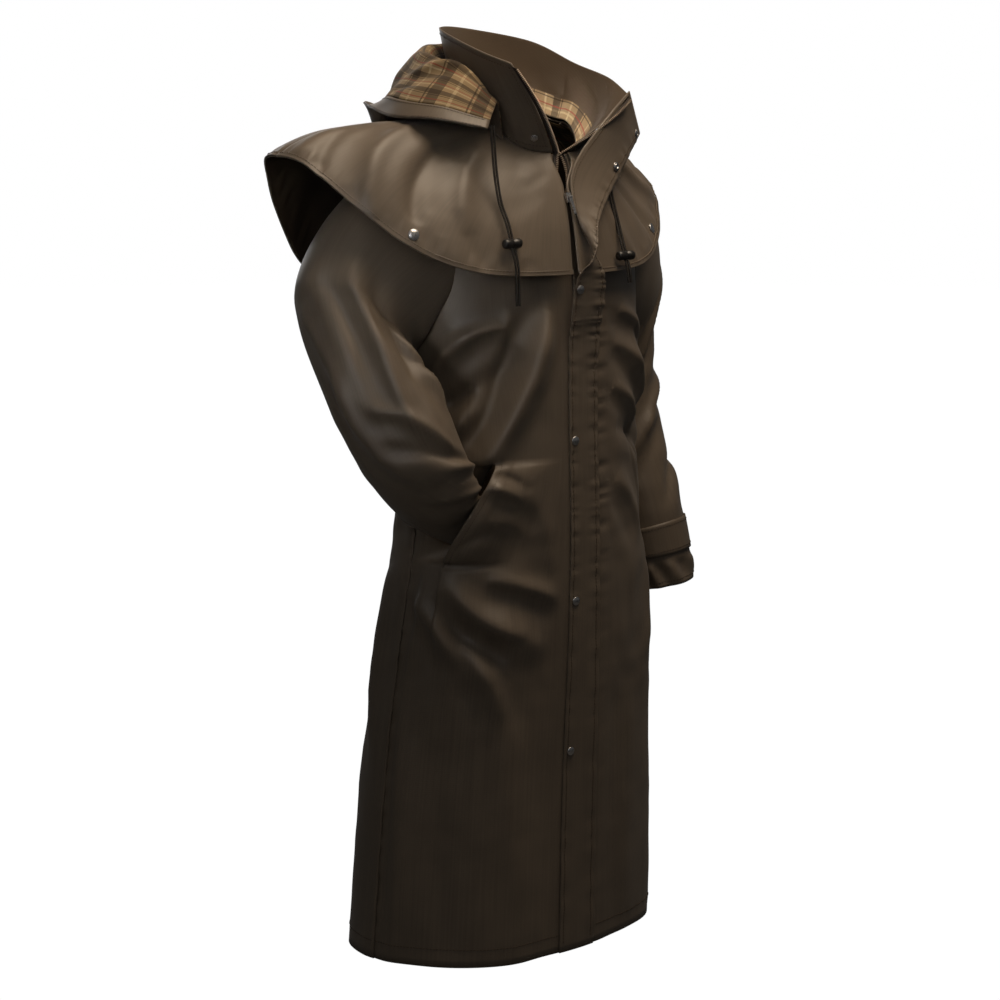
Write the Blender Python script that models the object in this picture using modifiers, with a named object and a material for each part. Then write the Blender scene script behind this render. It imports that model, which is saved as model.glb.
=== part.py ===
"""Cape coat, worn form with no wearer: cloth pieces, zip, snaps and drawcords in one shared frame.

Metres, +Z up. The front faces -Y and the wearer's left is +X. The origin lies in the middle of the neck,
level with the shoulder seams at the neck, where a wearer's neck and shoulders hold the coat.
"""
import bmesh
import bpy
import numpy as np
from mathutils import Matrix, Vector

# Driving dimensions
HEM_DOWN = 1.178            # neck seam level to hem
CLOTH = 0.0018              # body cloth with its lining, one wall
THIN_CLOTH = 0.0012         # hood cloth, hood lining, tapes and bands
SEAM = 0.0003               # space between neighbouring pieces
LAY = 0.0009                # space under a piece that lies on a curved panel
ARMHOLE_STEP = 0.0011       # armhole edge to the sleeve's first ring
SHOULDER_DOWN = 0.065       # neck seam to the tip of the shoulder seam
UNDERARM_DOWN = 0.285       # neck seam to the underarm
ARM_TOUCH = 0.0013          # sleeve to the body's side at the armhole
ARM_CLEAR = 0.005           # sleeve to the body's side, below the underarm
ARM_LEAVES = 0.62           # share of the sleeve down to which it hangs beside the body
SLEEVE_SEAM = 0.55          # half the gap at a sleeve seam, as an angle round the sleeve
SIDE_SEAM = 0.28            # half the gap at a side seam, as an angle round the body
CAPE_SEAM = 0.30            # half the gap at a cape shoulder seam
UNDERARM_TILT = 0.17        # how much lower a sleeve's inner line starts than its outer line
TILT_REACH = 0.60           # share of the sleeve over which that evens out
ARMHOLE_BLEND = 0.22        # share of the sleeve over which the armhole's shape turns into the arm's
SLEEVE_SPACING = 1.25       # draws a sleeve's rows closer together at the armhole
ARMHOLE_ANGLE = 33.0        # half the armhole's width, as an angle round the body
SLIDER_DOWN = 0.103         # neck seam to the zip slider, the bottom of the open collar
NECK_OPEN_ANGLE = 8.0       # how far the neck seam stands open each side of the centre front
CLOSING_ANGLE = -4.0        # where the two fronts meet, a little to the wearer's right of the centre
FRONT_GAP = 0.2             # half the gap between the fronts, as an angle
FLAP_FREE_X = -0.030        # free edge of the storm flap, from the centre front
FLAP_ROOT_X = 0.024         # sewn edge of the storm flap
SNAP_RADIUS = 0.0062
SNAP_HEIGHT = 0.0024
SNAP_TAPER = 0.72           # a snap cap's face to its foot
COLLAR_WALL = 0.0024
COLLAR_STEP = 0.0022        # body's neck edge to the collar's lower edge
NECK_LINING_ANGLE = 46.0    # where the neck lining starts on the wearer's left
NECK_LINING_DOWN = (0.003, 0.0217, 0.0433, 0.060)
LINING_DEPTH = 0.0030       # body's outer face to the neck lining
ZIP_NECK_SHARE = 0.36       # where the zip edge crosses the neck seam, as a share of its open length
ZIP_START = 0.10            # first and last share of the open edge that the tape covers
ZIP_END = 0.985
ZIP_STEP = 0.0016           # open edge to the tape
ZIP_TAPE = 0.0075           # tape and teeth that stand out from the open edge
ZIP_NARROWS = 0.35          # share of the tape that narrows towards the slider
ZIP_LEAST = 0.12            # share of its width that is left there
ZIP_ROWS = 14
SLIDER_SIZE = (0.0085, 0.0042, 0.0130)
SLIDER_STEP = 0.0008        # cape to slider
SLIDER_SHARE = 0.42         # share down the cape where the slider sits
SLIDER_LEAN = -24.0         # degrees, the chest's slope there
PIN_OUT = 0.0022            # slider face to the pull tab's pin
PIN_RADIUS = 0.0007
EYE_RADIUS = 0.0018         # barrel of the pull tab round the pin
EYE_CLEAR = 0.0003
LUG_SPREAD = 0.0031
LUG_SIZE = (0.0012, 0.0040, 0.0034)
LUG_SINK = 0.0010           # how far a lug and the pin's ends run into their neighbours
PULL_SIZE = (0.0044, 0.0012, 0.0250)
CAPE_SNAP_ANGLE = 46.0
CAPE_SNAP_SHARE = 0.892
CAPE_SNAP_RADIUS = 0.0078
CAPE_SNAP_HEIGHT = 0.0030
SNAP_STEP = 0.0005          # cloth to a snap
SOCKET_STEP = 0.0009        # open flap to a socket, where the flap's cloth twists
FLAP_SNAP_IN = 0.82         # flap snaps, as a share of the flap's width
FLAP_SOCKETS = ((0.5, 0.84), (2.80, 0.80))   # open sockets: row and share of the flap's width
STUD_ANGLE = -157.0
STUD_SHARE = 0.16
STUD_RADIUS = 0.005
STRAP_ALONG = (0.80, 0.895)
STRAP_TURN = (200.0, -50.0) # where the strap starts and ends round the sleeve
STRAP_FREE = 0.84           # share of the strap where its end leaves the sleeve
STRAP_STEP = 0.0014         # sleeve to strap
STRAP_END_LIFT = 0.012
CORD_RADIUS = 0.0016

# Body sections, from neck to hem: heights at front, side and back, half width, and front, side and back depth
TORSO_COLUMNS = ("down", "front_z", "side_z", "back_z", "half_width", "front_y", "side_y", "back_y")
TORSO = (
    (0.000, -0.048, -0.006, 0.012, 0.078, -0.088, -0.008, 0.058),
    (0.030, -0.072, -0.030, -0.012, 0.132, -0.096, 0.004, 0.088),
    (0.065, -0.106, -0.060, -0.050, 0.186, -0.106, 0.014, 0.108),
    (0.160, -0.178, -0.160, -0.158, 0.200, -0.126, 0.012, 0.124),
    (0.285, -0.285, -0.285, -0.285, 0.198, -0.138, 0.002, 0.126),
    (0.420, -0.420, -0.420, -0.420, 0.192, -0.141, -0.004, 0.116),
    (0.560, -0.560, -0.560, -0.560, 0.195, -0.146, -0.008, 0.112),
    (0.700, -0.700, -0.700, -0.700, 0.213, -0.146, 0.000, 0.138),
    (0.920, -0.920, -0.920, -0.920, 0.234, -0.138, 0.014, 0.170),
    (HEM_DOWN, -HEM_DOWN, -HEM_DOWN, -HEM_DOWN, 0.248, -0.134, 0.026, 0.190),
)

# Rows of the body panels below the underarm; the pocket slit starts and ends on two of them
LOWER_ROWS = (0.325, 0.37, 0.415, 0.462, 0.497, 0.532, 0.567, 0.602, 0.655, 0.72, 0.80, 0.89, 0.985,
              1.08, HEM_DOWN)

# Largest folds of the body: start and end as angle round the body and distance down, height, half width
FOLD_COLUMNS = ("angle_1", "down_1", "angle_2", "down_2", "height", "half_width")
FOLDS_FROM = (0.20, 0.12)   # the folds fade in from this far below the neck, over this length
FOLDS_CLEAR = (10.0, 14.0)  # angles from the centre front: flat under the flap, then fading in
FOLD_GIRTH = 0.19           # radius on which the folds' angles are measured
BODY_FOLDS = (
    (-52, 0.470, -14, 0.270, 0.010, 0.030),
    (-66, 0.370, -34, 0.330, -0.010, 0.028),
    (-62, 0.640, -26, 0.720, 0.007, 0.026),
    (-72, 0.650, -56, 0.760, 0.006, 0.024),
    (-40, 0.700, -34, 1.180, 0.008, 0.050),
    (-74, 0.760, -70, 1.180, -0.008, 0.050),
    (40, 0.330, 66, 0.440, 0.009, 0.030),
    (44, 0.450, 68, 0.400, -0.008, 0.026),
    (46, 0.640, 42, 1.180, 0.008, 0.050),
    (78, 0.700, 74, 1.180, -0.007, 0.050),
    (122, 0.520, 116, 1.180, 0.010, 0.060),
    (150, 0.600, 152, 1.180, -0.009, 0.055),
    (180, 0.640, 180, 1.180, 0.009, 0.060),
    (210, 0.600, 206, 1.180, -0.009, 0.055),
    (238, 0.540, 244, 1.180, 0.010, 0.060),
    (150, 0.400, 210, 0.440, 0.007, 0.045),
)

# Slanted pocket slits: the wearer's right one is held open by the sleeve, the left one is shut
POCKET_COLUMNS = ("angle_top", "down_top", "angle_low", "down_low", "lip_out", "lip_in")
POCKET_RIGHT = (44.0, 0.462, 68.0, 0.602, 0.038, 0.036)
POCKET_LEFT = (44.0, 0.462, 68.0, 0.602, 0.0012, 0.0012)
POCKET_LIMIT = 0.75         # most of a front's width that lies before the pocket line
POCKET_BELOW = 0.16         # length over which the front lip's bulge fades below the slit
POCKET_HAND = 0.35          # share of the bulge that is left below the slit
POCKET_ROUND = 0.5          # how quickly the slit opens from its ends
SLIT_GAP = 0.25             # angle that each lip draws back from the slit's line
POCKET_REACH_OUT = 34.0     # angle over which the front lip's bulge fades
POCKET_REACH_IN = 20.0      # angle over which the rear lip's hollow fades

# Sleeve stations from the shoulder to the cuff: centre, outward and forward half sizes
SLEEVE_COLUMNS = ("x", "y", "z", "outward", "forward", "twist")
SLEEVE_RIGHT = (
    (-0.232, 0.020, -0.110, 0.090, 0.080, 0.0),
    (-0.268, 0.030, -0.165, 0.080, 0.084, 0.0),
    (-0.278, 0.016, -0.235, 0.075, 0.082, 0.0),
    (-0.281, -0.018, -0.305, 0.072, 0.080, 0.0),
    (-0.276, -0.052, -0.375, 0.070, 0.078, 0.0),
    (-0.258, -0.076, -0.440, 0.062, 0.076, -8.0),
    (-0.224, -0.086, -0.494, 0.040, 0.064, -34.0),
    (-0.176, -0.079, -0.534, 0.016, 0.042, -62.0),
    (-0.127, -0.070, -0.562, 0.012, 0.030, -72.0),
)
SLEEVE_LEFT = (
    (-0.232, 0.030, -0.110, 0.088, 0.080, 0.0),
    (-0.256, 0.058, -0.165, 0.076, 0.082, 0.0),
    (-0.260, 0.084, -0.240, 0.072, 0.080, 0.0),
    (-0.264, 0.092, -0.330, 0.070, 0.078, 0.0),
    (-0.268, 0.086, -0.420, 0.066, 0.075, 0.0),
    (-0.276, 0.060, -0.510, 0.062, 0.070, 0.0),
    (-0.286, 0.034, -0.590, 0.058, 0.066, 0.0),
    (-0.294, 0.020, -0.650, 0.056, 0.062, 0.0),
    (-0.300, 0.012, -0.706, 0.054, 0.060, 0.0),
)

# Cape sections from the neck to its bound edge, the wearer's right and left half widths apart
CAPE_COLUMNS = ("front_z", "right_z", "left_z", "back_z", "half_right", "half_left",
                "front_y", "side_y", "back_y")
CAPE = (
    (-0.046, -0.003, -0.002, 0.016, 0.0830, 0.0855, -0.0897, -0.008, 0.0640),
    (-0.070, -0.001, -0.012, 0.000, 0.146, 0.135, -0.105, 0.008, 0.104),
    (-0.103, -0.003, -0.030, -0.036, 0.226, 0.180, -0.121, 0.026, 0.142),
    (-0.141, -0.012, -0.051, -0.096, 0.300, 0.215, -0.136, 0.042, 0.170),
    (-0.178, -0.028, -0.062, -0.166, 0.346, 0.245, -0.145, 0.052, 0.190),
    (-0.208, -0.046, -0.085, -0.246, 0.372, 0.272, -0.151, 0.060, 0.204),
)
CAPE_CLOSES = 0.34          # share down the cape where its fronts meet
CAPE_EDGE_GAP = 0.8         # half the gap between them, as an angle
CAPE_OPEN_MORE = 2.0        # angle that the cape opens more than the body at the neck
CAPE_SWEEP = 1.35           # keeps the cape's edge high over the shoulders
CAPE_ROWS = (0.0, 0.13, 0.26, 0.39, 0.52, 0.65, 0.78, 0.88, 0.955, 1.0)
CAPE_CORE = (0.0, 0.03, -0.4)   # a place inside the body, below the cape

# Upper edge of the stand collar, by angle round the neck: the open front leans out to both sides
COLLAR_END = 172.0          # angle of the collar's zip edges
COLLAR_COLUMNS = ("angle", "top_x", "top_y", "top_z", "bulge")
COLLAR = (
    (-172.0, -0.104, -0.104, 0.074, 0.010),
    (-140.0, -0.112, -0.060, 0.088, 0.010),
    (-95.0, -0.106, 0.008, 0.108, 0.006),
    (-45.0, -0.080, 0.070, 0.124, 0.004),
    (0.0, 0.000, 0.098, 0.122, 0.004),
    (45.0, 0.082, 0.064, 0.106, 0.004),
    (95.0, 0.118, 0.004, 0.074, 0.006),
    (140.0, 0.126, -0.060, 0.052, 0.008),
    (172.0, 0.116, -0.106, 0.030, 0.010),
)

# Hood folded down round the collar, by angle round the neck: outward and upward steps from the neck seam
HOOD_COLUMNS = ("angle", "rise_out", "rise_up", "crest_out", "crest_up", "fall_out", "fall_up",
                "turn_out", "turn_up", "edge_out", "edge_up")
HOOD = (
    (-128.0, 0.016, 0.036, 0.026, 0.048, 0.040, 0.040, 0.054, 0.030, 0.068, 0.016),
    (-100.0, 0.020, 0.052, 0.034, 0.072, 0.054, 0.054, 0.076, 0.030, 0.096, 0.004),
    (-60.0, 0.022, 0.062, 0.040, 0.082, 0.062, 0.056, 0.086, 0.028, 0.106, 0.006),
    (-25.0, 0.020, 0.060, 0.038, 0.084, 0.072, 0.050, 0.112, -0.060, 0.140, 0.004),
    (0.0, 0.022, 0.050, 0.046, 0.060, 0.082, 0.000, 0.122, -0.130, 0.156, -0.024),
    (25.0, 0.024, 0.050, 0.050, 0.056, 0.084, 0.016, 0.122, -0.090, 0.150, -0.010),
    (60.0, 0.026, 0.042, 0.046, 0.046, 0.072, 0.032, 0.096, 0.002, 0.110, 0.000),
    (100.0, 0.020, 0.024, 0.032, 0.028, 0.046, 0.022, 0.058, 0.010, 0.068, -0.002),
    (128.0, 0.010, 0.014, 0.016, 0.018, 0.024, 0.014, 0.030, 0.008, 0.036, 0.002),
)
HOOD_SEAT = 0.04            # where the hood stands on the cape, as a share of the cape's length
HOOD_STEP = 0.0024          # cape to the hood's seam
HOOD_ENDS = 126.0           # angle of the hood's front corners, from the centre back
HOOD_ROWS = (0.0, 0.075, 0.15, 0.225, 0.30, 0.375, 0.45, 0.525, 0.60, 0.67, 0.74, 0.79, 0.84,
             0.87, 0.93, 1.0)
HOOD_STOPS = (0.0, 0.2, 0.38, 0.58, 0.8, 1.0)   # shares of the hood's length at the table's points
HOOD_WIDEN = 1.12           # the hood spreads more to the sides than to the back
HOOD_BAND = 13              # row where the brim band starts; the lining ends one row before it

# Storm flap above its top snap, folded open to the wearer's left: root line and free edge
FLAP_COLUMNS = ("root_x", "root_y", "root_z", "free_x", "free_y", "free_z")
FLAP_OPEN = (
    (0.1235, -0.1005, 0.029, 0.164, -0.078, -0.023),
    (0.0690, -0.1110, -0.010, 0.112, -0.108, -0.056),
    (0.0060, -0.1130, -0.070, 0.054, -0.131, -0.104),
    (-0.0080, -0.1320, -0.118, 0.014, -0.150, -0.142),
    (-0.0070, -0.1470, -0.152, 0.000, -0.168, -0.170),
    (0.0090, -0.1570, -0.187, -0.018, -0.170, -0.196),
)
FLAP_GIRTH = 0.205          # half width of the body that the flap's edges are measured on
FLAP_LIFT = 0.0026          # body to the flap's outer face
FLAP_OVER_CAPE = 0.0210     # how far the flap stands off where it passes the cape's edge
FLAP_SETTLE = 0.110         # length over which it comes back to the body
FLAP_OPEN_STEPS = 2         # rows of cloth between two lines of the open part
CAPE_HANG = 0.010           # least step from there to the flap's next row
FLAP_SHUT_DOWN = 0.212      # where the flap lies shut again, just below the cape
FLAP_PROBE = 0.1            # step across the flap for its direction under a snap
FLAP_SNAP_DOWN = (0.224, 0.438, 0.663, 0.880)

# Drawcords from the hood's front corners, each two strands through a toggle
CORD_COLUMNS = ("x", "y", "z")
CORD_RIGHT = (
    (-0.1330, -0.1007, -0.0066),
    (-0.1325, -0.1020, -0.0350),
    (-0.1315, -0.1050, -0.0700),
    (-0.1305, -0.1130, -0.1080),
    (-0.1300, -0.1270, -0.1350),
    (-0.1300, -0.1368, -0.1620),
    (-0.1290, -0.1455, -0.1930),
    (-0.1285, -0.1470, -0.2450),
)
CORD_LEFT = (
    (0.1080, -0.0829, -0.0235),
    (0.1000, -0.0890, -0.0550),
    (0.0870, -0.0990, -0.0800),
    (0.0752, -0.1120, -0.1000),
    (0.0715, -0.1335, -0.1500),
    (0.0690, -0.1495, -0.1870),
    (0.0690, -0.1560, -0.2050),
    (0.0700, -0.1580, -0.2240),
)
CORD_POINTS = 18            # points along each strand
STRAND_SPREAD = 0.0024
BORE_CLEAR = 0.0006
TOGGLE_AT = 5               # row of the route where the toggle sits
TOGGLE_LENGTH = 0.030
TOGGLE_RADIUS = 0.0066

# Colours, as linear values by eye
BROWN = (0.052, 0.036, 0.025, 1.0)
DARK_BROWN = (0.030, 0.022, 0.017, 1.0)
CHECK_TAN = (0.32, 0.22, 0.12, 1.0)
STEEL = (0.55, 0.54, 0.53, 1.0)
BLACK = (0.012, 0.011, 0.010, 1.0)


def column(table, names, name):
    """One named column of a table."""
    return np.array([row[names.index(name)] for row in table], float)


def smooth(levels, values, at):
    """Cubic curve through a column's values at rising levels, read at the places `at`."""
    slopes = np.gradient(values, levels)
    i = np.clip(np.searchsorted(levels, at, side="right") - 1, 0, len(levels) - 2)
    span = levels[i + 1] - levels[i]
    f = np.clip((at - levels[i]) / span, 0.0, 1.0)
    start = (2 * f**3 - 3 * f**2 + 1) * values[i] + (f**3 - 2 * f**2 + f) * span * slopes[i]
    end = (3 * f**2 - 2 * f**3) * values[i + 1] + (f**3 - f**2) * span * slopes[i + 1]
    return start + end


def ease(f):
    """Soft step from 0 to 1."""
    f = np.clip(f, 0.0, 1.0)
    return f * f * (3 - 2 * f)


def ring(angle, z, half_width, y, sweep=1.0):
    """Point of a body ring: z and y are (front, side, back) values, angle 0 is the centre front.

    A larger sweep keeps the side's height for longer on the way to front and back.
    """
    turn = np.radians(angle)
    facing = np.cos(turn)
    share = np.abs(facing)
    to_front = facing > 0
    end_y = np.where(to_front, y[0], y[2])
    end_z = np.where(to_front, z[0], z[2])
    return np.stack([half_width * np.sin(turn), y[1] + (end_y - y[1]) * share,
                     z[1] + (end_z - z[1]) * ease(share) ** sweep], -1)


def torso_plain(angle, down):
    """Body surface without folds."""
    levels = column(TORSO, TORSO_COLUMNS, "down")
    read = {name: smooth(levels, column(TORSO, TORSO_COLUMNS, name), down) for name in TORSO_COLUMNS[1:]}
    return ring(angle, (read["front_z"], read["side_z"], read["back_z"]), read["half_width"],
                (read["front_y"], read["side_y"], read["back_y"]))


def fold_height(angle, down, folds, girth=FOLD_GIRTH):
    """Height of soft ridges and troughs on the unrolled body."""
    total = np.zeros(np.broadcast(angle, down).shape)
    across = np.radians(np.mod(angle + 90.0, 360.0) - 90.0) * girth
    for a1, d1, a2, d2, height, half_width in folds:
        start = np.array([np.radians(a1) * girth, d1])
        way = np.array([np.radians(a2) * girth, d2]) - start
        along = ((across - start[0]) * way[0] + (down - start[1]) * way[1]) / (way @ way)
        near = np.clip(along, 0.0, 1.0)
        gap = np.hypot(across - start[0] - near * way[0], down - start[1] - near * way[1])
        total = total + height * np.exp(-(gap / half_width) ** 2)
    return total


def normals(form, u, v, step=1e-4):
    """Outward unit normals of a form, from small steps along its two parameters."""
    cross = np.cross(form(u + step, v) - form(u - step, v), form(u, v + step) - form(u, v - step))
    return cross / np.maximum(np.linalg.norm(cross, axis=-1, keepdims=True), 1e-12)


def torso(angle, down, lift=0.0):
    """Body surface with its folds, moved out by `lift`; the folds fade near the neck and under the flap."""
    def steep(a, d):
        return torso_plain(a * 180.0, d)
    out = normals(steep, angle / 180.0, down) * -1.0
    aside = np.abs(np.mod(angle + 180.0, 360.0) - 180.0)
    fade = ease((down - FOLDS_FROM[0]) / FOLDS_FROM[1]) * ease((aside - FOLDS_CLEAR[0]) / FOLDS_CLEAR[1])
    height = fold_height(angle, down, BODY_FOLDS) * fade + lift
    return torso_plain(angle, down) + out * height[..., None]


def armhole_angle(down):
    """How far a panel's side edge draws back from the side line, at the armhole."""
    middle = (SHOULDER_DOWN + UNDERARM_DOWN) / 2
    half = (UNDERARM_DOWN - SHOULDER_DOWN) / 2
    return ARMHOLE_ANGLE * np.sqrt(np.clip(1.0 - ((down - middle) / half) ** 2, 0.0, 1.0))


def armhole_down(turn):
    """Distance down of the armhole's edge at a turn of 0 (shoulder tip) to 180 degrees (underarm)."""
    return SHOULDER_DOWN + (UNDERARM_DOWN - SHOULDER_DOWN) * (1.0 - np.cos(np.radians(turn))) / 2


def panel_rows():
    """Levels of a body panel's rows: shoulder, armhole in even turns, then down to the hem."""
    shoulder = np.linspace(0.0, SHOULDER_DOWN, 4)[:-1]
    armhole = armhole_down(np.linspace(0.0, 180.0, 9))
    return np.concatenate([shoulder, armhole, LOWER_ROWS])


def front_edge_angle(down, sign):
    """Angle of a front's centre edge: shut below the slider, opening to the neck above it."""
    opening = ease((SLIDER_DOWN - down) / SLIDER_DOWN)
    return sign * (FRONT_GAP + NECK_OPEN_ANGLE * opening) + CLOSING_ANGLE * (1.0 - opening)


def pocket_angle(pocket, down):
    """Angle of the pocket line at each level; it stays upright above and below the slit."""
    return np.interp(down, (pocket[1], pocket[3]), (pocket[0], pocket[2]))


def new_mesh_object(name, bm, material):
    """Object from a bmesh, in the coat's collection."""
    mesh = bpy.data.meshes.new(name)
    bm.normal_update()
    bm.to_mesh(mesh)
    bm.free()
    mesh.materials.append(material)
    obj = bpy.data.objects.new(name, mesh)
    parts.objects.link(obj)
    return obj


def cloth(name, material, columns, rows, place, wall=CLOTH, slit=None, inside=None):
    """Cloth piece: a grid placed by place(u, v), with u and v in 0..1, and its wall on the inner side.

    slit(u_index, v_index) is true for vertices on a cut, where the grid is opened along its column.
    inside(u, v) gives points on the inner side; without it, that is the body's upright axis.
    """
    bm = bmesh.new()
    bmesh.ops.create_grid(bm, x_segments=columns, y_segments=rows, size=0.5)
    if slit:
        cut = [edge for edge in bm.edges if all(slit(*grid_index(v, columns, rows)) for v in edge.verts)]
        bmesh.ops.split_edges(bm, edges=cut)
    verts = list(bm.verts)
    u = np.array([v.co.x + 0.5 for v in verts])
    v_share = np.array([0.5 - v.co.y for v in verts])
    middles = [np.mean([face.calc_center_median().x for face in v.link_faces]) for v in verts]
    side = np.array(middles) + 0.5 - u
    points = place(u, v_share, side) if slit else place(u, v_share)
    for vert, point in zip(verts, points):
        vert.co = point
    bm.normal_update()
    core = inside(u, v_share) if inside else points * np.array([0.0, 0.0, 1.0])
    facing = np.array([v.normal for v in verts])
    if np.sum(facing * (core - points)) > 0:
        bmesh.ops.reverse_faces(bm, faces=bm.faces)
    obj = new_mesh_object(name, bm, material)
    shell = obj.modifiers.new("Wall", "SOLIDIFY")
    shell.thickness = wall
    shell.offset = -1.0
    shell.use_even_offset = False
    return obj


def grid_index(vert, columns, rows):
    """Column and row number of a vertex of an unmoved grid."""
    return round((vert.co.x + 0.5) * columns), round((0.5 - vert.co.y) * rows)


def from_rows(rows):
    """Level at a share of 0..1 that steps evenly through a list of rows."""
    def level(share):
        return np.interp(share * (len(rows) - 1), np.arange(len(rows)), rows)
    return level


def front_panel(name, sign, pocket):
    """Front, from the centre edge to the side seam, with armhole edge and slanted pocket slit."""
    rows = panel_rows()
    level = from_rows(rows)
    columns, slit_column = 12, 7
    first = int(np.flatnonzero(np.isclose(rows, pocket[1]))[0])
    last = int(np.flatnonzero(np.isclose(rows, pocket[3]))[0])

    def on_slit(i, j):
        return i == slit_column and first <= j <= last

    def place(u, v, side):
        down = level(v)
        near = sign * front_edge_angle(down, sign)
        far = 90.0 - SIDE_SEAM - armhole_angle(down)
        line = np.minimum(pocket_angle(pocket, down), near + (far - near) * POCKET_LIMIT)
        split = slit_column / columns
        inner = near + (line - near) * u / split
        outer = line + (far - line) * (u - split) / (1 - split)
        on_line = np.abs(u - split) < 1e-6
        inner = np.where(on_line & (side < -1e-6), inner - SLIT_GAP, inner)
        outer = np.where(on_line & (side > 1e-6), outer + SLIT_GAP, outer)
        towards_front = (u < split - 1e-6) | (on_line & (side < 0))
        angle = np.where(towards_front, inner, outer)
        along = np.clip((down - pocket[1]) / (pocket[3] - pocket[1]), 0.0, 1.0)
        gape = np.sin(np.pi * along) ** POCKET_ROUND
        below = ease(1.0 - (down - pocket[3]) / POCKET_BELOW)
        hand = np.where(down > pocket[3], POCKET_HAND * below, 0.0)
        bulge = pocket[4] * np.maximum(gape, hand) * ease(1.0 - (line - angle) / POCKET_REACH_OUT)
        hollow = -pocket[5] * gape * ease(1.0 - (angle - line) / POCKET_REACH_IN)
        lift = np.where(towards_front, bulge, hollow)
        return torso(sign * angle, down, lift)

    return cloth(name, brown, columns, len(rows) - 1, place, slit=on_slit)


def back_panel():
    """Back, from side seam to side seam."""
    rows = panel_rows()
    level = from_rows(rows)

    def place(u, v):
        down = level(v)
        edge = 90.0 + SIDE_SEAM + armhole_angle(down)
        return torso(edge + (360.0 - 2 * edge) * u, down)

    return cloth("back", brown, 16, len(rows) - 1, place)


def sleeve_form(stations, sign, turn, along):
    """Sleeve surface; turn 0 is its outer line, 90 the front, 180 the inner line; along is 0 at the top."""
    marks = np.linspace(0.0, 1.0, len(stations))
    read = {name: smooth(marks, column(stations, SLEEVE_COLUMNS, name), along) for name in SLEEVE_COLUMNS}
    step = 0.01
    ends = [np.stack([smooth(marks, column(stations, SLEEVE_COLUMNS, name), np.clip(along + s, 0, 1))
                      for name in ("x", "y", "z")], -1) for s in (-step, step)]
    way = ends[1] - ends[0]
    way = way / np.linalg.norm(way, axis=-1, keepdims=True)
    front = np.array([0.0, -1.0, 0.0]) - way * (-way[..., 1:2])
    front = front / np.linalg.norm(front, axis=-1, keepdims=True)
    outer = np.cross(way, front)
    twist = np.radians(read["twist"])[..., None]
    turned = front * np.cos(twist) + outer * np.sin(twist)
    outer = outer * np.cos(twist) - front * np.sin(twist)
    centre = np.stack([read["x"], read["y"], read["z"]], -1)
    angle = np.radians(turn)
    arm = (centre + outer * (np.cos(angle) * read["outward"])[..., None]
           + turned * (np.sin(angle) * read["forward"])[..., None])
    drop = UNDERARM_TILT * (1.0 - np.cos(angle)) / 2 * (1.0 - ease(along / TILT_REACH))
    arm = arm - np.array([0.0, 0.0, 1.0]) * drop[..., None]
    fold = np.mod(turn, 360.0)
    down = armhole_down(np.where(fold > 180.0, 360.0 - fold, fold))
    back = np.where(fold > 180.0, -1.0, 1.0)
    loop = torso_plain(-(90.0 - back * armhole_angle(down)), down) + np.array([-ARMHOLE_STEP, 0.0, 0.0])
    share = ease(along / ARMHOLE_BLEND)[..., None]
    points = clear_of_body(loop * (1 - share) + arm * share, along)
    return points * np.array([-sign, 1.0, 1.0])


def clear_of_body(points, along):
    """Points of a right sleeve, moved out of the body's side down to where the arm leaves it."""
    down = -points[..., 2]
    levels = column(TORSO, TORSO_COLUMNS, "down")
    read = {name: smooth(levels, column(TORSO, TORSO_COLUMNS, name), np.clip(down, 0.0, HEM_DOWN))
            for name in ("half_width", "front_y", "side_y", "back_y")}
    behind = points[..., 1] > read["side_y"]
    depth = np.where(behind, read["back_y"], read["front_y"]) - read["side_y"]
    share = np.clip((points[..., 1] - read["side_y"]) / depth, 0.0, 1.0)
    step = ARM_TOUCH + ARM_CLEAR * ease(along / ARMHOLE_BLEND)
    limit = -read["half_width"] * np.sqrt(1.0 - share**2) - step
    held = (along < ARM_LEAVES) & (along > 0.0) & (down > SHOULDER_DOWN)
    moved = np.where(held, np.minimum(points[..., 0], limit), points[..., 0])
    return np.concatenate([moved[..., None], points[..., 1:]], -1)


def sleeve_middle(stations, sign, along):
    """Middle of the sleeve, between its outer and inner lines."""
    outer = sleeve_form(stations, sign, 0.0 * along, along)
    inner = sleeve_form(stations, sign, 180.0 + 0.0 * along, along)
    return (outer + inner) / 2


def sleeve_half(name, stations, sign, first_turn, columns=8, rows=16):
    """Half of a sleeve, split along its outer and inner lines."""
    def place(u, v):
        gap = SLEEVE_SEAM * (1.0 + ease(1.0 - v / ARMHOLE_BLEND))
        turn = first_turn + gap + (180.0 - 2 * gap) * u
        return sleeve_form(stations, sign, turn, v ** SLEEVE_SPACING)

    def inside(u, v):
        return sleeve_middle(stations, sign, v ** SLEEVE_SPACING)

    return cloth(name, brown, columns, rows, place, inside=inside)


def cape_form(angle, share, lift=0.0):
    """Cape surface; share is 0 at the neck and 1 at the bound edge."""
    def plain(a, s):
        marks = np.linspace(0.0, 1.0, len(CAPE))
        read = {name: smooth(marks, column(CAPE, CAPE_COLUMNS, name), s) for name in CAPE_COLUMNS}
        on_right = np.sin(np.radians(a * 180.0)) < 0
        half = np.where(on_right, read["half_right"], read["half_left"])
        side_z = np.where(on_right, read["right_z"], read["left_z"])
        return ring(a * 180.0, (read["front_z"], side_z, read["back_z"]), half,
                    (read["front_y"], read["side_y"], read["back_y"]), CAPE_SWEEP)
    points = plain(angle / 180.0, share)
    if np.any(lift):
        points = points - normals(plain, angle / 180.0, share) * lift
    return points


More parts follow.
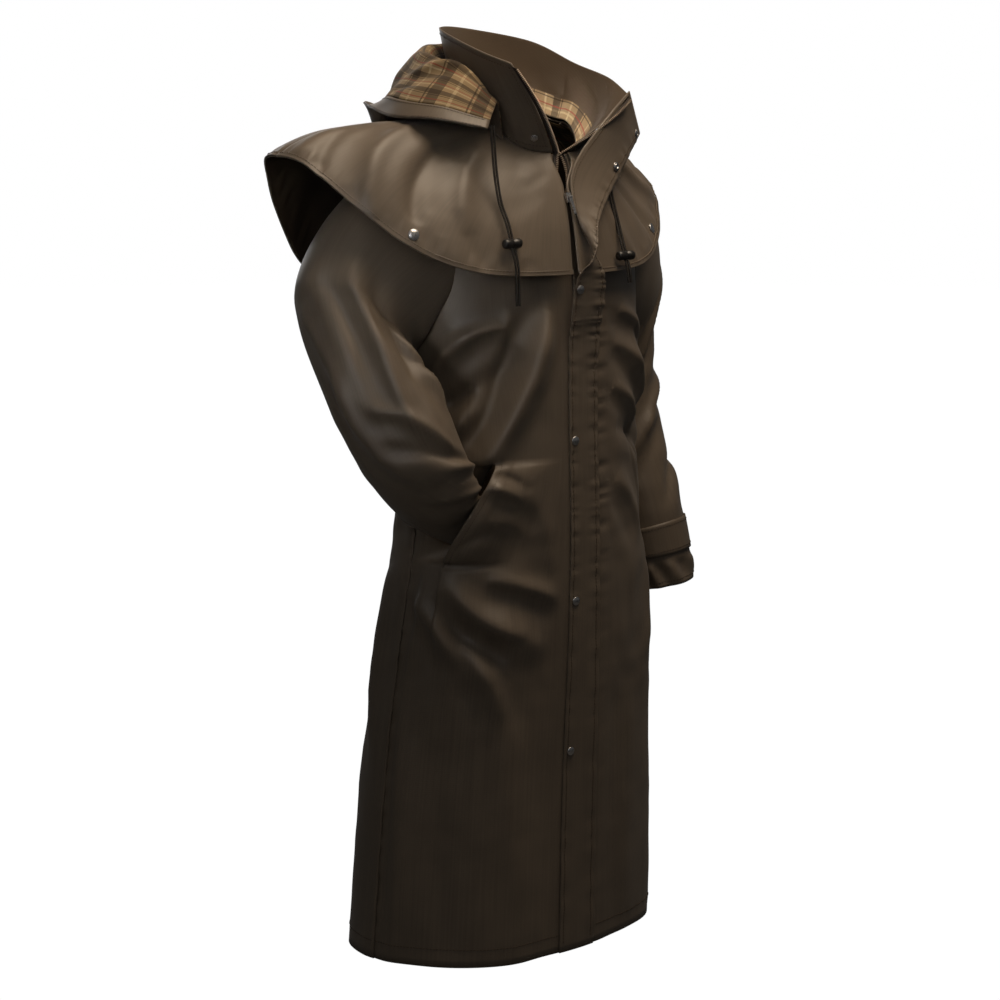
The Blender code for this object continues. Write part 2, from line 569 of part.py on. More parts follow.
def cape_edge_angle(share, sign):
    """Angle of the cape's front edge: shut below the slider, open with the zip above it."""
    opening = ease(1.0 - share / CAPE_CLOSES)
    open_angle = CAPE_EDGE_GAP + (NECK_OPEN_ANGLE + CAPE_OPEN_MORE) * opening
    return sign * open_angle + CLOSING_ANGLE * (1.0 - opening)


def cape_piece(name, first, last, columns, shares=CAPE_ROWS, lift=0.0, wall=CLOTH):
    """Cape piece between two angles; each may be a number or a function of the share down."""
    level = from_rows(np.array(shares))

    def place(u, v):
        share = level(v)
        a = first(share) if callable(first) else first
        b = last(share) if callable(last) else last
        return cape_form(a + (b - a) * u, share, lift)

    def inside(u, v):
        return np.array(CAPE_CORE) + 0 * u[..., None]

    return cloth(name, brown, columns, len(shares) - 1, place, wall=wall, inside=inside)


def collar_form(angle, share):
    """Stand collar; angle 0 is the centre back, share is 0 at the neck seam and 1 at the upper edge."""
    angles = column(COLLAR, COLLAR_COLUMNS, "angle")
    read = {name: smooth(angles, column(COLLAR, COLLAR_COLUMNS, name), angle) for name in COLLAR_COLUMNS[1:]}
    body_angle = 180.0 - angle * (180.0 - NECK_OPEN_ANGLE) / COLLAR_END
    base = torso_plain(body_angle, np.zeros_like(angle)) + np.array([0.0, 0.0, COLLAR_STEP])
    top = np.stack([read["top_x"], read["top_y"], read["top_z"]], -1)
    out = np.stack([np.sin(np.radians(body_angle)), -np.cos(np.radians(body_angle)), 0 * angle], -1)
    swell = (read["bulge"] * np.sin(np.pi * share))[..., None]
    return base + (top - base) * share[..., None] + out * swell


def hood_form(angle, share, lift=0.0):
    """Folded hood; angle 0 is the centre back, share is 0 at the neck seam and 1 at the brim."""
    angles = column(HOOD, HOOD_COLUMNS, "angle")
    stops = np.array(HOOD_STOPS)

    def plain(a, s):
        turn = a * 180.0
        read = {name: smooth(angles, column(HOOD, HOOD_COLUMNS, name), turn) for name in HOOD_COLUMNS[1:]}
        names = ("rise", "crest", "fall", "turn", "edge")
        outs = [0 * turn] + [read[n + "_out"] for n in names]
        ups = [0 * turn] + [read[n + "_up"] for n in names]
        out = section(stops, outs, s)
        up = section(stops, ups, s)
        body_angle = 180.0 - turn
        seat = cape_form(body_angle, HOOD_SEAT + 0 * turn, HOOD_STEP)
        facing = np.radians(body_angle)
        way = np.stack([np.sin(facing) * HOOD_WIDEN, -np.cos(facing), 0 * turn], -1)
        return seat + way * out[..., None] + np.array([0.0, 0.0, 1.0]) * up[..., None]

    points = plain(angle / 180.0, share)
    if np.any(lift):
        points = points + normals(plain, angle / 180.0, share) * lift
    return points


def section(stops, values, share):
    """Cubic curve through values that differ from point to point, at stops that are the same for all."""
    stack = np.stack(values, 0)
    slopes = np.gradient(stack, stops, axis=0)
    i = np.clip(np.searchsorted(stops, share, side="right") - 1, 0, len(stops) - 2)
    span = stops[i + 1] - stops[i]
    f = np.clip((share - stops[i]) / span, 0.0, 1.0)
    here = np.arange(len(share))
    return ((2 * f**3 - 3 * f**2 + 1) * stack[i, here] + (f**3 - 2 * f**2 + f) * span * slopes[i, here]
            + (3 * f**2 - 2 * f**3) * stack[i + 1, here] + (f**3 - f**2) * span * slopes[i + 1, here])


def hood_piece(name, material, shares, lift, side):
    """Layer of the hood through shares of its length; side is 1 for a wall towards the lining, else -1."""
    level = from_rows(np.array(shares))

    def place(u, v):
        return hood_form(HOOD_ENDS * (2 * u - 1), level(v), lift)

    def inside(u, v):
        return hood_form(HOOD_ENDS * (2 * u - 1), level(v), lift + side * THIN_CLOTH)

    return cloth(name, material, 22, len(shares) - 1, place, wall=THIN_CLOTH, inside=inside)


def flap_lift(down):
    """How far the shut flap stands off the body; most where it passes the cape's edge."""
    return FLAP_LIFT + FLAP_OVER_CAPE * ease(1.0 - (down - FLAP_SHUT_DOWN) / FLAP_SETTLE)


def flap_form(u, share):
    """Storm flap; u runs from its sewn to its free edge, share from its top to the hem, row by row."""
    lines = np.array(FLAP_OPEN)
    downs = np.array([row for row in panel_rows() if row > FLAP_SHUT_DOWN + CAPE_HANG])
    downs = np.concatenate([[FLAP_SHUT_DOWN], downs])
    first = len(lines) * FLAP_OPEN_STEPS
    at = share * (first + len(downs) - 1)
    sewn, free = np.degrees(np.arcsin(np.array([FLAP_ROOT_X, FLAP_FREE_X]) / FLAP_GIRTH))
    down = np.interp(at, first + np.arange(len(downs)), downs)
    shut = torso(sewn + (free - sewn) * u, down, flap_lift(down))
    steps = np.concatenate([np.arange(len(lines)) * FLAP_OPEN_STEPS, [first, first + 1]]).astype(float)
    edges = []
    for start, angle in ((0, sewn), (3, free)):
        low = torso(angle + np.zeros(2), downs[:2], flap_lift(downs[:2]))
        line = np.concatenate([lines[:, start:start + 3], low])
        edges.append(np.stack([smooth(steps, line[:, k], at) for k in range(3)], -1))
    opened = edges[0] + (edges[1] - edges[0]) * u[..., None]
    return np.where((at < first)[..., None], opened, shut)


def flap_rows():
    """Number of rows of the storm flap."""
    return len(FLAP_OPEN) * FLAP_OPEN_STEPS + sum(row > FLAP_SHUT_DOWN + CAPE_HANG for row in panel_rows())


def storm_flap():
    """Storm flap: shut over the zip from its top snap down, folded open above it."""
    return cloth("storm_flap", brown, 4, int(flap_rows()), flap_form)


def look_at(direction):
    """Two unit vectors square to a direction."""
    direction = direction / np.linalg.norm(direction)
    aside = np.cross(direction, (0.0, 0.0, 1.0))
    aside = aside / np.linalg.norm(aside)
    return direction, aside, np.cross(direction, aside)


def snap(name, point, out, radius=SNAP_RADIUS, height=SNAP_HEIGHT):
    """Round metal snap cap standing on a surface."""
    out, aside, up = look_at(np.array(out, float))
    bm = bmesh.new()
    bmesh.ops.create_cone(bm, cap_ends=True, segments=14, radius1=radius, radius2=radius * SNAP_TAPER,
                          depth=height)
    for vert in bm.verts:
        local = vert.co.copy()
        place = np.array(point) + aside * local.x + up * local.y + out * (local.z + height / 2 + SEAM)
        vert.co = place
    return new_mesh_object(name, bm, steel)


def tube(name, points, radius, material):
    """Cord along hand-placed points."""
    curve = bpy.data.curves.new(name, "CURVE")
    curve.dimensions = "3D"
    curve.bevel_depth = radius
    curve.bevel_resolution = 2
    curve.use_fill_caps = True
    spline = curve.splines.new("POLY")
    spline.points.add(len(points) - 1)
    for target, point in zip(spline.points, points):
        target.co = (*point, 1.0)
    curve.materials.append(material)
    obj = bpy.data.objects.new(name, curve)
    parts.objects.link(obj)
    return obj


def drawcord(side, route):
    """Two strands of one hood drawcord and the barrel toggle that they pass through."""
    route = np.array(route)
    marks = np.arange(len(route), dtype=float)
    at = np.linspace(0.0, marks[-1], CORD_POINTS)
    line = np.stack([smooth(marks, route[:, k], at) for k in range(3)], -1)
    strands = (("a", np.array([-STRAND_SPREAD, 0.0, 0.0])), ("b", np.array([STRAND_SPREAD, 0.0, 0.0])))
    bm = bmesh.new()
    bmesh.ops.create_cone(bm, cap_ends=True, segments=12, radius1=TOGGLE_RADIUS, radius2=TOGGLE_RADIUS,
                          depth=TOGGLE_LENGTH)
    bmesh.ops.rotate(bm, verts=bm.verts, matrix=Matrix.Rotation(np.pi / 2, 3, "Y"))
    toggle = new_mesh_object(f"toggle_{side}", bm, black)
    toggle.location = route[TOGGLE_AT]
    way = route[TOGGLE_AT + 1] - route[TOGGLE_AT - 1]
    for strand, shift in strands:
        tube(f"drawcord_{side}_{strand}", line + shift, CORD_RADIUS, black)
        bore = bmesh.new()
        bore_radius = CORD_RADIUS + BORE_CLEAR
        bmesh.ops.create_cone(bore, cap_ends=True, segments=10, radius1=bore_radius, radius2=bore_radius,
                              depth=4 * TOGGLE_RADIUS)
        mesh = bpy.data.meshes.new(f"toggle_{side}_bore_{strand}")
        bore.to_mesh(mesh)
        bore.free()
        hole = tool(toggle, mesh, "DIFFERENCE")
        hole.location = shift
        hole.rotation_euler = Vector(way).to_track_quat("-Z", "Y").to_euler()


def make_material(name, colour, roughness, metallic=0.0):
    """Principled material of one colour."""
    material = bpy.data.materials.new(name)
    material.use_nodes = True
    shader = material.node_tree.nodes["Principled BSDF"]
    shader.inputs["Base Color"].default_value = colour
    shader.inputs["Roughness"].default_value = roughness
    shader.inputs["Metallic"].default_value = metallic
    return material


def collar_piece():
    """Stand collar, from zip edge to zip edge."""
    def place(u, v):
        return collar_form(COLLAR_END * (2 * u - 1), 1.0 - v)

    return cloth("collar", brown, 22, 5, place, wall=COLLAR_WALL)


def neck_lining():
    """Check lining inside the neck, below the collar, where the open front shows it."""
    side = np.linspace(NECK_LINING_ANGLE, 90.0, 6)[:-1]
    angles = from_rows(np.concatenate([side, np.linspace(90.0, 270.0, 17)]))
    downs = from_rows(np.array(NECK_LINING_DOWN))

    def place(u, v):
        return torso(angles(u), downs(v), -LINING_DEPTH)

    return cloth("neck_lining", check, 21, 3, place, wall=THIN_CLOTH)


def zip_edge(sign, share):
    """Middle of the edge under a zip tape, from the slider (0) to the collar's top (1), and its way on."""
    lower = np.clip(share / ZIP_NECK_SHARE, 0.0, 1.0)
    upper = np.clip((share - ZIP_NECK_SHARE) / (1.0 - ZIP_NECK_SHARE), 0.0, 1.0)
    down = SLIDER_DOWN * (1.0 - lower)
    angle = front_edge_angle(down, sign)
    body = torso(angle, down, -CLOTH / 2)
    ahead = torso(angle - sign, down, -CLOTH / 2)
    end = sign * COLLAR_END + 0 * share
    collar = collar_form(end, upper)
    way = collar - collar_form(end - 2 * sign, upper)
    rise = collar_form(end, upper + ZIP_STEP) - collar_form(end, upper - ZIP_STEP)
    inner = np.cross(way, rise) * -sign
    collar = collar + inner / np.linalg.norm(inner, axis=-1, keepdims=True) * COLLAR_WALL / 2
    on_collar = (share > ZIP_NECK_SHARE)[..., None]
    way = np.where(on_collar, way, ahead - body)
    return np.where(on_collar, collar, body), way / np.linalg.norm(way, axis=-1, keepdims=True)


def zip_tape(name, sign):
    """Tape of one zip side along its open edge."""
    def place(u, v):
        edge, way = zip_edge(sign, ZIP_START + (ZIP_END - ZIP_START) * (1.0 - v))
        width = ZIP_TAPE * ease((1.0 - v) / ZIP_NARROWS + ZIP_LEAST)
        return edge + way * (ZIP_STEP + width * u)[..., None]

    obj = cloth(name, dark, 1, ZIP_ROWS, place, wall=THIN_CLOTH)
    obj.modifiers["Wall"].offset = 0.0
    return obj


def cape_binding(name, first, last, columns):
    """Bound edge of a cape piece, on the piece's own points."""
    lift = THIN_CLOTH + 2 * SEAM
    return cape_piece(name, first, last, columns, shares=CAPE_ROWS[-2:], lift=lift, wall=THIN_CLOTH)


def cuff_strap():
    """Strap round the left cuff; its free end stands off the sleeve."""
    along = from_rows(np.array(STRAP_ALONG))

    def centre(u, v):
        return sleeve_middle(SLEEVE_LEFT, 1, along(v))

    def place(u, v):
        turn = STRAP_TURN[0] + (STRAP_TURN[1] - STRAP_TURN[0]) * u
        on_sleeve = sleeve_form(SLEEVE_LEFT, 1, turn, along(v))
        out = on_sleeve - centre(u, v)
        out = out / np.linalg.norm(out, axis=-1, keepdims=True)
        lift = THIN_CLOTH + STRAP_STEP + STRAP_END_LIFT * ease((u - STRAP_FREE) / (1.0 - STRAP_FREE))
        return on_sleeve + out * lift[..., None]

    return cloth("cuff_strap", brown, 20, 1, place, wall=THIN_CLOTH, inside=centre)


def box(name, size, centre):
    """Mesh of a box."""
    bm = bmesh.new()
    bmesh.ops.create_cube(bm, size=1.0)
    bmesh.ops.scale(bm, vec=size, verts=bm.verts)
    bmesh.ops.translate(bm, vec=centre, verts=bm.verts)
    mesh = bpy.data.meshes.new(name)
    bm.to_mesh(mesh)
    bm.free()
    return mesh


def rod(name, radius, length, centre):
    """Mesh of a rod along X."""
    bm = bmesh.new()
    bmesh.ops.create_cone(bm, cap_ends=True, segments=12, radius1=radius, radius2=radius, depth=length)
    for vert in bm.verts:
        vert.co = (vert.co.z + centre[0], vert.co.y + centre[1], -vert.co.x + centre[2])
    bmesh.ops.recalc_face_normals(bm, faces=bm.faces)
    mesh = bpy.data.meshes.new(name)
    bm.to_mesh(mesh)
    bm.free()
    return mesh


def tool(target, mesh, operation):
    """Adds or cuts a helper mesh on a target object; the helper follows the target."""
    helper = bpy.data.objects.new(mesh.name, mesh)
    helper.parent = target
    helper.display_type = "WIRE"
    helper.hide_render = True
    cutters.objects.link(helper)
    modifier = target.modifiers.new(mesh.name, "BOOLEAN")
    modifier.operation = operation
    modifier.object = helper
    return helper


def zip_slider():
    """Slider with two lugs and a pin, and its pull tab hung on the pin."""
    at = (np.array([CLOSING_ANGLE]), np.array([SLIDER_SHARE]))
    seat = cape_form(*at, SLIDER_SIZE[1] + SLIDER_STEP)[0]
    lean = SLIDER_LEAN
    body = box("zip_slider", SLIDER_SIZE, (0.0, SLIDER_SIZE[1] / 2, 0.0))
    slider = bpy.data.objects.new("zip_slider", body)
    slider.data.materials.append(steel)
    slider.location = seat
    slider.rotation_euler = (np.radians(lean), 0.0, 0.0)
    parts.objects.link(slider)
    for side in (-1, 1):
        lug = box(f"zip_lug_{side}", LUG_SIZE, (side * LUG_SPREAD, LUG_SINK - LUG_SIZE[1] / 2, 0.0))
        tool(slider, lug, "UNION")
    tool(slider, rod("zip_pin", PIN_RADIUS, 2 * LUG_SPREAD + LUG_SINK, (0.0, -PIN_OUT, 0.0)), "UNION")
    tab = bpy.data.objects.new("zip_pull", box("zip_pull", PULL_SIZE, (0.0, 0.0, -PULL_SIZE[2] / 2)))
    tab.data.materials.append(steel)
    axis = np.array([0.0, -PIN_OUT * np.cos(np.radians(lean)), -PIN_OUT * np.sin(np.radians(lean))])
    tab.location = seat + axis
    tab.rotation_euler = (np.radians(lean), 0.0, 0.0)
    parts.objects.link(tab)
    tool(tab, rod("zip_barrel", EYE_RADIUS, PULL_SIZE[0], (0.0, 0.0, 0.0)), "UNION")
    tool(tab, rod("zip_eye", PIN_RADIUS + EYE_CLEAR, 4 * PULL_SIZE[0], (0.0, 0.0, 0.0)), "DIFFERENCE")


def on_flap(u, row):
    """Point and outward direction on the storm flap, between two of its rows."""
    rows = flap_rows()
    low = np.floor(row)
    across = u + np.array([-FLAP_PROBE, FLAP_PROBE, -FLAP_PROBE, FLAP_PROBE])
    ends = flap_form(across, (low + np.array([0, 0, 1, 1])) / rows)
    upper, lower = (ends[0] + ends[1]) / 2, (ends[2] + ends[3]) / 2
    out = np.cross(ends[1] - ends[0], lower - upper)
    out = out / np.linalg.norm(out)
    return upper + (lower - upper) * (row - low), out if out[1] < 0 else -out


def snaps():
    """Flap snaps, the two open flap sockets, the collar stud and the two cape snaps."""
    shut = len(FLAP_OPEN) * FLAP_OPEN_STEPS
    downs = [row for row in panel_rows() if row > FLAP_SHUT_DOWN + CAPE_HANG]
    for number, down in enumerate(FLAP_SNAP_DOWN, 1):
        row = shut + np.interp(down, [FLAP_SHUT_DOWN, *downs], np.arange(len(downs) + 1))
        point, out = on_flap(FLAP_SNAP_IN, row)
        snap(f"flap_snap_{number}", point + out * SNAP_STEP, out)
    for number, (row, u) in enumerate(FLAP_SOCKETS, 1):
        point, out = on_flap(u, row)
        snap(f"flap_socket_{number}", point + out * (CLOTH + SOCKET_STEP), out)
    at = (np.array([STUD_ANGLE]), np.array([STUD_SHARE]))
    out = normals(lambda a, share: collar_form(a * 180.0, share), at[0] / 180.0, at[1])[0]
    out = out if out[1] < 0 else -out
    snap("collar_stud", collar_form(*at)[0] + out * SNAP_STEP, out, radius=STUD_RADIUS)
    for name, angle in (("cape_snap_right", -CAPE_SNAP_ANGLE), ("cape_snap_left", CAPE_SNAP_ANGLE)):
        at = (np.array([angle]), np.array([CAPE_SNAP_SHARE]))
        point = cape_form(*at, lift=SNAP_STEP)[0]
        out = cape_form(*at, lift=CLOTH)[0] - point
        snap(name, point, out, radius=CAPE_SNAP_RADIUS, height=CAPE_SNAP_HEIGHT)


for old in list(bpy.data.objects):
    bpy.data.objects.remove(old)
parts = bpy.data.collections.new("cape_coat")
cutters = bpy.data.collections.new("cutters")
bpy.context.scene.collection.children.link(parts)
bpy.context.scene.collection.children.link(cutters)
brown = make_material("brown_coat_cloth", BROWN, 0.5)
dark = make_material("dark_zip_tape", DARK_BROWN, 0.7)
check = make_material("check_lining", CHECK_TAN, 0.85)
steel = make_material("nickel", STEEL, 0.3, 1.0)
black = make_material("black_cord", BLACK, 0.7)

front_panel("front_right", -1, POCKET_RIGHT)
front_panel("front_left", 1, POCKET_LEFT)
back_panel()
sleeve_half("sleeve_right_front", SLEEVE_RIGHT, -1, 0.0)
sleeve_half("sleeve_right_back", SLEEVE_RIGHT, -1, 180.0)
sleeve_half("sleeve_left_front", SLEEVE_LEFT, 1, 0.0)
sleeve_half("sleeve_left_back", SLEEVE_LEFT, 1, 180.0)
for side, sign in (("right", -1), ("left", 1)):
    edge = (lambda share, sign=sign: cape_edge_angle(share, sign), sign * (90.0 - CAPE_SEAM))
    cape_piece(f"cape_{side}", *edge, 10)
    cape_binding(f"cape_binding_{side}", *edge, 10)
cape_piece("cape_back", 90.0 + CAPE_SEAM, 270.0 - CAPE_SEAM, 16)
cape_binding("cape_binding_back", 90.0 + CAPE_SEAM, 270.0 - CAPE_SEAM, 16)
collar_piece()
neck_lining()
hood_piece("hood", brown, HOOD_ROWS, 0.0, -1)
hood_piece("hood_lining", check, HOOD_ROWS[:HOOD_BAND], LAY, 1)
hood_piece("hood_band", brown, HOOD_ROWS[HOOD_BAND:], LAY, 1)
storm_flap()
zip_tape("zip_tape_right", -1)
zip_tape("zip_tape_left", 1)
zip_slider()
snaps()
cuff_strap()
drawcord("right", CORD_RIGHT)
drawcord("left", CORD_LEFT)
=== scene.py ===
"""Cape coat in worn form with no wearer: cloth, zip, snaps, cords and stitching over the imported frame."""

import bmesh
import bpy
import numpy as np
from mathutils import Matrix, Vector


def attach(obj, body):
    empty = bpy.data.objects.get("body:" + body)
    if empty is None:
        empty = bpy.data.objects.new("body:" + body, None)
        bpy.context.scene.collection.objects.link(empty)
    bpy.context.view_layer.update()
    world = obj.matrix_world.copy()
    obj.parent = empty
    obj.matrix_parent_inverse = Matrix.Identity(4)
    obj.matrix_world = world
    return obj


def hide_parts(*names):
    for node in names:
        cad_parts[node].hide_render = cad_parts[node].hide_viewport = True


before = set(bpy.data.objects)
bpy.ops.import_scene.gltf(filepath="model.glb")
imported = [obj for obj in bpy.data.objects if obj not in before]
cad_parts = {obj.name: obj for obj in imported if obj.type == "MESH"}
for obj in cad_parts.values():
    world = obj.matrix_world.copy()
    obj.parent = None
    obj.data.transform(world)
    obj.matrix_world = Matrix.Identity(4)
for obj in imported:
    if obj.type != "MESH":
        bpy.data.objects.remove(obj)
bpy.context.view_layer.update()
COAT = "coat"               # the body that all cloth rides on

bl_info = {
    "name": "Cape coat",
    "version": (1, 0, 0),
    "blender": (4, 5, 0),
    "location": "3D View > Sidebar > Coat",
    "description": "Dresses the packed cape coat with cloth, stitching, zip, snaps, cords and a studio stage",
    "category": "Object",
}

# Sizes and tables of the coat's solids, repeated so that the cloth lies on them
HEM_DOWN = 1.178            # neck seam level to hem
CLOTH = 0.0018              # body cloth with its lining, one wall
THIN_CLOTH = 0.0012         # hood cloth, hood lining, tapes and bands
SEAM = 0.0003               # space between neighbouring pieces
LAY = 0.0009                # space under a piece that lies on a curved panel
ARMHOLE_STEP = 0.0011       # armhole edge to the sleeve's first ring
SHOULDER_DOWN = 0.065       # neck seam to the tip of the shoulder seam
UNDERARM_DOWN = 0.285       # neck seam to the underarm
ARM_TOUCH = 0.0013          # sleeve to the body's side at the armhole
ARM_CLEAR = 0.005           # sleeve to the body's side, below the underarm
ARM_LEAVES = 0.62           # share of the sleeve down to which it hangs beside the body
UNDERARM_TILT = 0.17        # how much lower a sleeve's inner line starts than its outer line
TILT_REACH = 0.60           # share of the sleeve over which that evens out
ARMHOLE_BLEND = 0.22        # share of the sleeve over which the armhole's shape turns into the arm's
SLEEVE_SPACING = 1.25       # draws a sleeve's rows closer together at the armhole
ARMHOLE_ANGLE = 33.0        # half the armhole's width, as an angle round the body
SLIDER_DOWN = 0.103         # neck seam to the zip slider, the bottom of the open collar
NECK_OPEN_ANGLE = 8.0       # how far the neck seam stands open each side of the centre front
CLOSING_ANGLE = -4.0        # where the two fronts meet, a little to the wearer's right of the centre
FRONT_GAP = 0.2             # half the gap between the fronts, as an angle
FLAP_FREE_X = -0.030        # free edge of the storm flap, from the centre front
FLAP_ROOT_X = 0.024         # sewn edge of the storm flap
SNAP_RADIUS = 0.0062
SNAP_HEIGHT = 0.0024
COLLAR_WALL = 0.0024
COLLAR_STEP = 0.0022        # body's neck edge to the collar's lower edge
NECK_LINING_ANGLE = 46.0    # where the neck lining starts on the wearer's left
NECK_LINING_DOWN = (0.003, 0.060)   # neck seam to the neck lining's upper and lower edges
LINING_DEPTH = 0.0030       # body's outer face to the neck lining
ZIP_NECK_SHARE = 0.36       # where the zip edge crosses the neck seam, as a share of its open length
ZIP_START = 0.10            # first and last share of the open edge that the tape covers
ZIP_END = 0.985
ZIP_STEP = 0.0016           # open edge to the tape
ZIP_TAPE = 0.0075           # tape and teeth that stand out from the open edge
ZIP_NARROWS = 0.35          # share of the tape that narrows towards the slider
ZIP_LEAST = 0.12            # share of its width that is left there
CAPE_SNAP_ANGLE = 46.0
CAPE_SNAP_SHARE = 0.892
CAPE_SNAP_RADIUS = 0.0078
CAPE_SNAP_HEIGHT = 0.0030
SNAP_STEP = 0.0005          # cloth to a snap
SOCKET_STEP = 0.0009        # open flap to a socket, where the flap's cloth twists
FLAP_SNAP_IN = 0.82         # flap snaps, as a share of the flap's width
FLAP_SOCKETS = ((0.5, 0.84), (2.80, 0.80))   # open sockets: row and share of the flap's width
STUD_ANGLE = -157.0
STUD_SHARE = 0.16
STUD_RADIUS = 0.005
STRAP_ALONG = (0.80, 0.895)
STRAP_TURN = (200.0, -50.0) # where the strap starts and ends round the sleeve
STRAP_FREE = 0.84           # share of the strap where its end leaves the sleeve
STRAP_STEP = 0.0014         # sleeve to strap
STRAP_END_LIFT = 0.012
CORD_RADIUS = 0.0016

# Body sections, from neck to hem: heights at front, side and back, half width, and front, side and back depth
TORSO_COLUMNS = ("down", "front_z", "side_z", "back_z", "half_width", "front_y", "side_y", "back_y")
TORSO = (
    (0.000, -0.048, -0.006, 0.012, 0.078, -0.088, -0.008, 0.058),
    (0.030, -0.072, -0.030, -0.012, 0.132, -0.096, 0.004, 0.088),
    (0.065, -0.106, -0.060, -0.050, 0.186, -0.106, 0.014, 0.108),
    (0.160, -0.178, -0.160, -0.158, 0.200, -0.126, 0.012, 0.124),
    (0.285, -0.285, -0.285, -0.285, 0.198, -0.138, 0.002, 0.126),
    (0.420, -0.420, -0.420, -0.420, 0.192, -0.141, -0.004, 0.116),
    (0.560, -0.560, -0.560, -0.560, 0.195, -0.146, -0.008, 0.112),
    (0.700, -0.700, -0.700, -0.700, 0.213, -0.146, 0.000, 0.138),
    (0.920, -0.920, -0.920, -0.920, 0.234, -0.138, 0.014, 0.170),
    (HEM_DOWN, -HEM_DOWN, -HEM_DOWN, -HEM_DOWN, 0.248, -0.134, 0.026, 0.190),
)

# Rows of the body panels below the underarm; the pocket slit starts and ends on two of them
LOWER_ROWS = (0.325, 0.37, 0.415, 0.462, 0.497, 0.532, 0.567, 0.602, 0.655, 0.72, 0.80, 0.89, 0.985,
              1.08, HEM_DOWN)

# Largest folds of the body: start and end as angle round the body and distance down, height, half width
FOLDS_FROM = (0.20, 0.12)   # the folds fade in from this far below the neck, over this length
FOLDS_CLEAR = (10.0, 14.0)  # angles from the centre front: flat under the flap, then fading in
FOLD_GIRTH = 0.19           # radius on which the folds' angles are measured
BODY_FOLDS = (
    (-52, 0.470, -14, 0.270, 0.010, 0.030),
    (-66, 0.370, -34, 0.330, -0.010, 0.028),
    (-62, 0.640, -26, 0.720, 0.007, 0.026),
    (-72, 0.650, -56, 0.760, 0.006, 0.024),
    (-40, 0.700, -34, 1.180, 0.008, 0.050),
    (-74, 0.760, -70, 1.180, -0.008, 0.050),
    (40, 0.330, 66, 0.440, 0.009, 0.030),
    (44, 0.450, 68, 0.400, -0.008, 0.026),
    (46, 0.640, 42, 1.180, 0.008, 0.050),
    (78, 0.700, 74, 1.180, -0.007, 0.050),
    (122, 0.520, 116, 1.180, 0.010, 0.060),
    (150, 0.600, 152, 1.180, -0.009, 0.055),
    (180, 0.640, 180, 1.180, 0.009, 0.060),
    (210, 0.600, 206, 1.180, -0.009, 0.055),
    (238, 0.540, 244, 1.180, 0.010, 0.060),
    (150, 0.400, 210, 0.440, 0.007, 0.045),
)

# Slanted pocket slits: the wearer's right one is held open by the sleeve, the left one is shut. Each is the
# angle and distance down of its top and of its low end, then how far its lips stand out and in
POCKET_RIGHT = (44.0, 0.462, 68.0, 0.602, 0.038, 0.036)
POCKET_LEFT = (44.0, 0.462, 68.0, 0.602, 0.0012, 0.0012)
POCKET_LIMIT = 0.75         # most of a front's width that lies before the pocket line
POCKET_BELOW = 0.16         # length over which the front lip's bulge fades below the slit
POCKET_HAND = 0.35          # share of the bulge that is left below the slit
POCKET_ROUND = 0.5          # how quickly the slit opens from its ends
SLIT_GAP = 0.25             # angle that each lip draws back from the slit's line
POCKET_REACH_OUT = 34.0     # angle over which the front lip's bulge fades
POCKET_REACH_IN = 20.0      # angle over which the rear lip's hollow fades

# Sleeve stations from the shoulder to the cuff: centre, outward and forward half sizes, twist
SLEEVE_COLUMNS = ("x", "y", "z", "outward", "forward", "twist")
SLEEVE_RIGHT = (
    (-0.232, 0.020, -0.110, 0.090, 0.080, 0.0),
    (-0.268, 0.030, -0.165, 0.080, 0.084, 0.0),
    (-0.278, 0.016, -0.235, 0.075, 0.082, 0.0),
    (-0.281, -0.018, -0.305, 0.072, 0.080, 0.0),
    (-0.276, -0.052, -0.375, 0.070, 0.078, 0.0),
    (-0.258, -0.076, -0.440, 0.062, 0.076, -8.0),
    (-0.224, -0.086, -0.494, 0.040, 0.064, -34.0),
    (-0.176, -0.079, -0.534, 0.016, 0.042, -62.0),
    (-0.127, -0.070, -0.562, 0.012, 0.030, -72.0),
)
SLEEVE_LEFT = (
    (-0.232, 0.030, -0.110, 0.088, 0.080, 0.0),
    (-0.256, 0.058, -0.165, 0.076, 0.082, 0.0),
    (-0.260, 0.084, -0.240, 0.072, 0.080, 0.0),
    (-0.264, 0.092, -0.330, 0.070, 0.078, 0.0),
    (-0.268, 0.086, -0.420, 0.066, 0.075, 0.0),
    (-0.276, 0.060, -0.510, 0.062, 0.070, 0.0),
    (-0.286, 0.034, -0.590, 0.058, 0.066, 0.0),
    (-0.294, 0.020, -0.650, 0.056, 0.062, 0.0),
    (-0.300, 0.012, -0.706, 0.054, 0.060, 0.0),
)

# Cape sections from the neck to its bound edge, the wearer's right and left half widths apart
CAPE_COLUMNS = ("front_z", "right_z", "left_z", "back_z", "half_right", "half_left",
                "front_y", "side_y", "back_y")
CAPE = (
    (-0.046, -0.003, -0.002, 0.016, 0.0830, 0.0855, -0.0897, -0.008, 0.0640),
    (-0.070, -0.001, -0.012, 0.000, 0.146, 0.135, -0.105, 0.008, 0.104),
    (-0.103, -0.003, -0.030, -0.036, 0.226, 0.180, -0.121, 0.026, 0.142),
    (-0.141, -0.012, -0.051, -0.096, 0.300, 0.215, -0.136, 0.042, 0.170),
    (-0.178, -0.028, -0.062, -0.166, 0.346, 0.245, -0.145, 0.052, 0.190),
    (-0.208, -0.046, -0.085, -0.246, 0.372, 0.272, -0.151, 0.060, 0.204),
)
CAPE_CLOSES = 0.34          # share down the cape where its fronts meet
CAPE_EDGE_GAP = 0.8         # half the gap between them, as an angle
CAPE_OPEN_MORE = 2.0        # angle that the cape opens more than the body at the neck
CAPE_SWEEP = 1.35           # keeps the cape's edge high over the shoulders
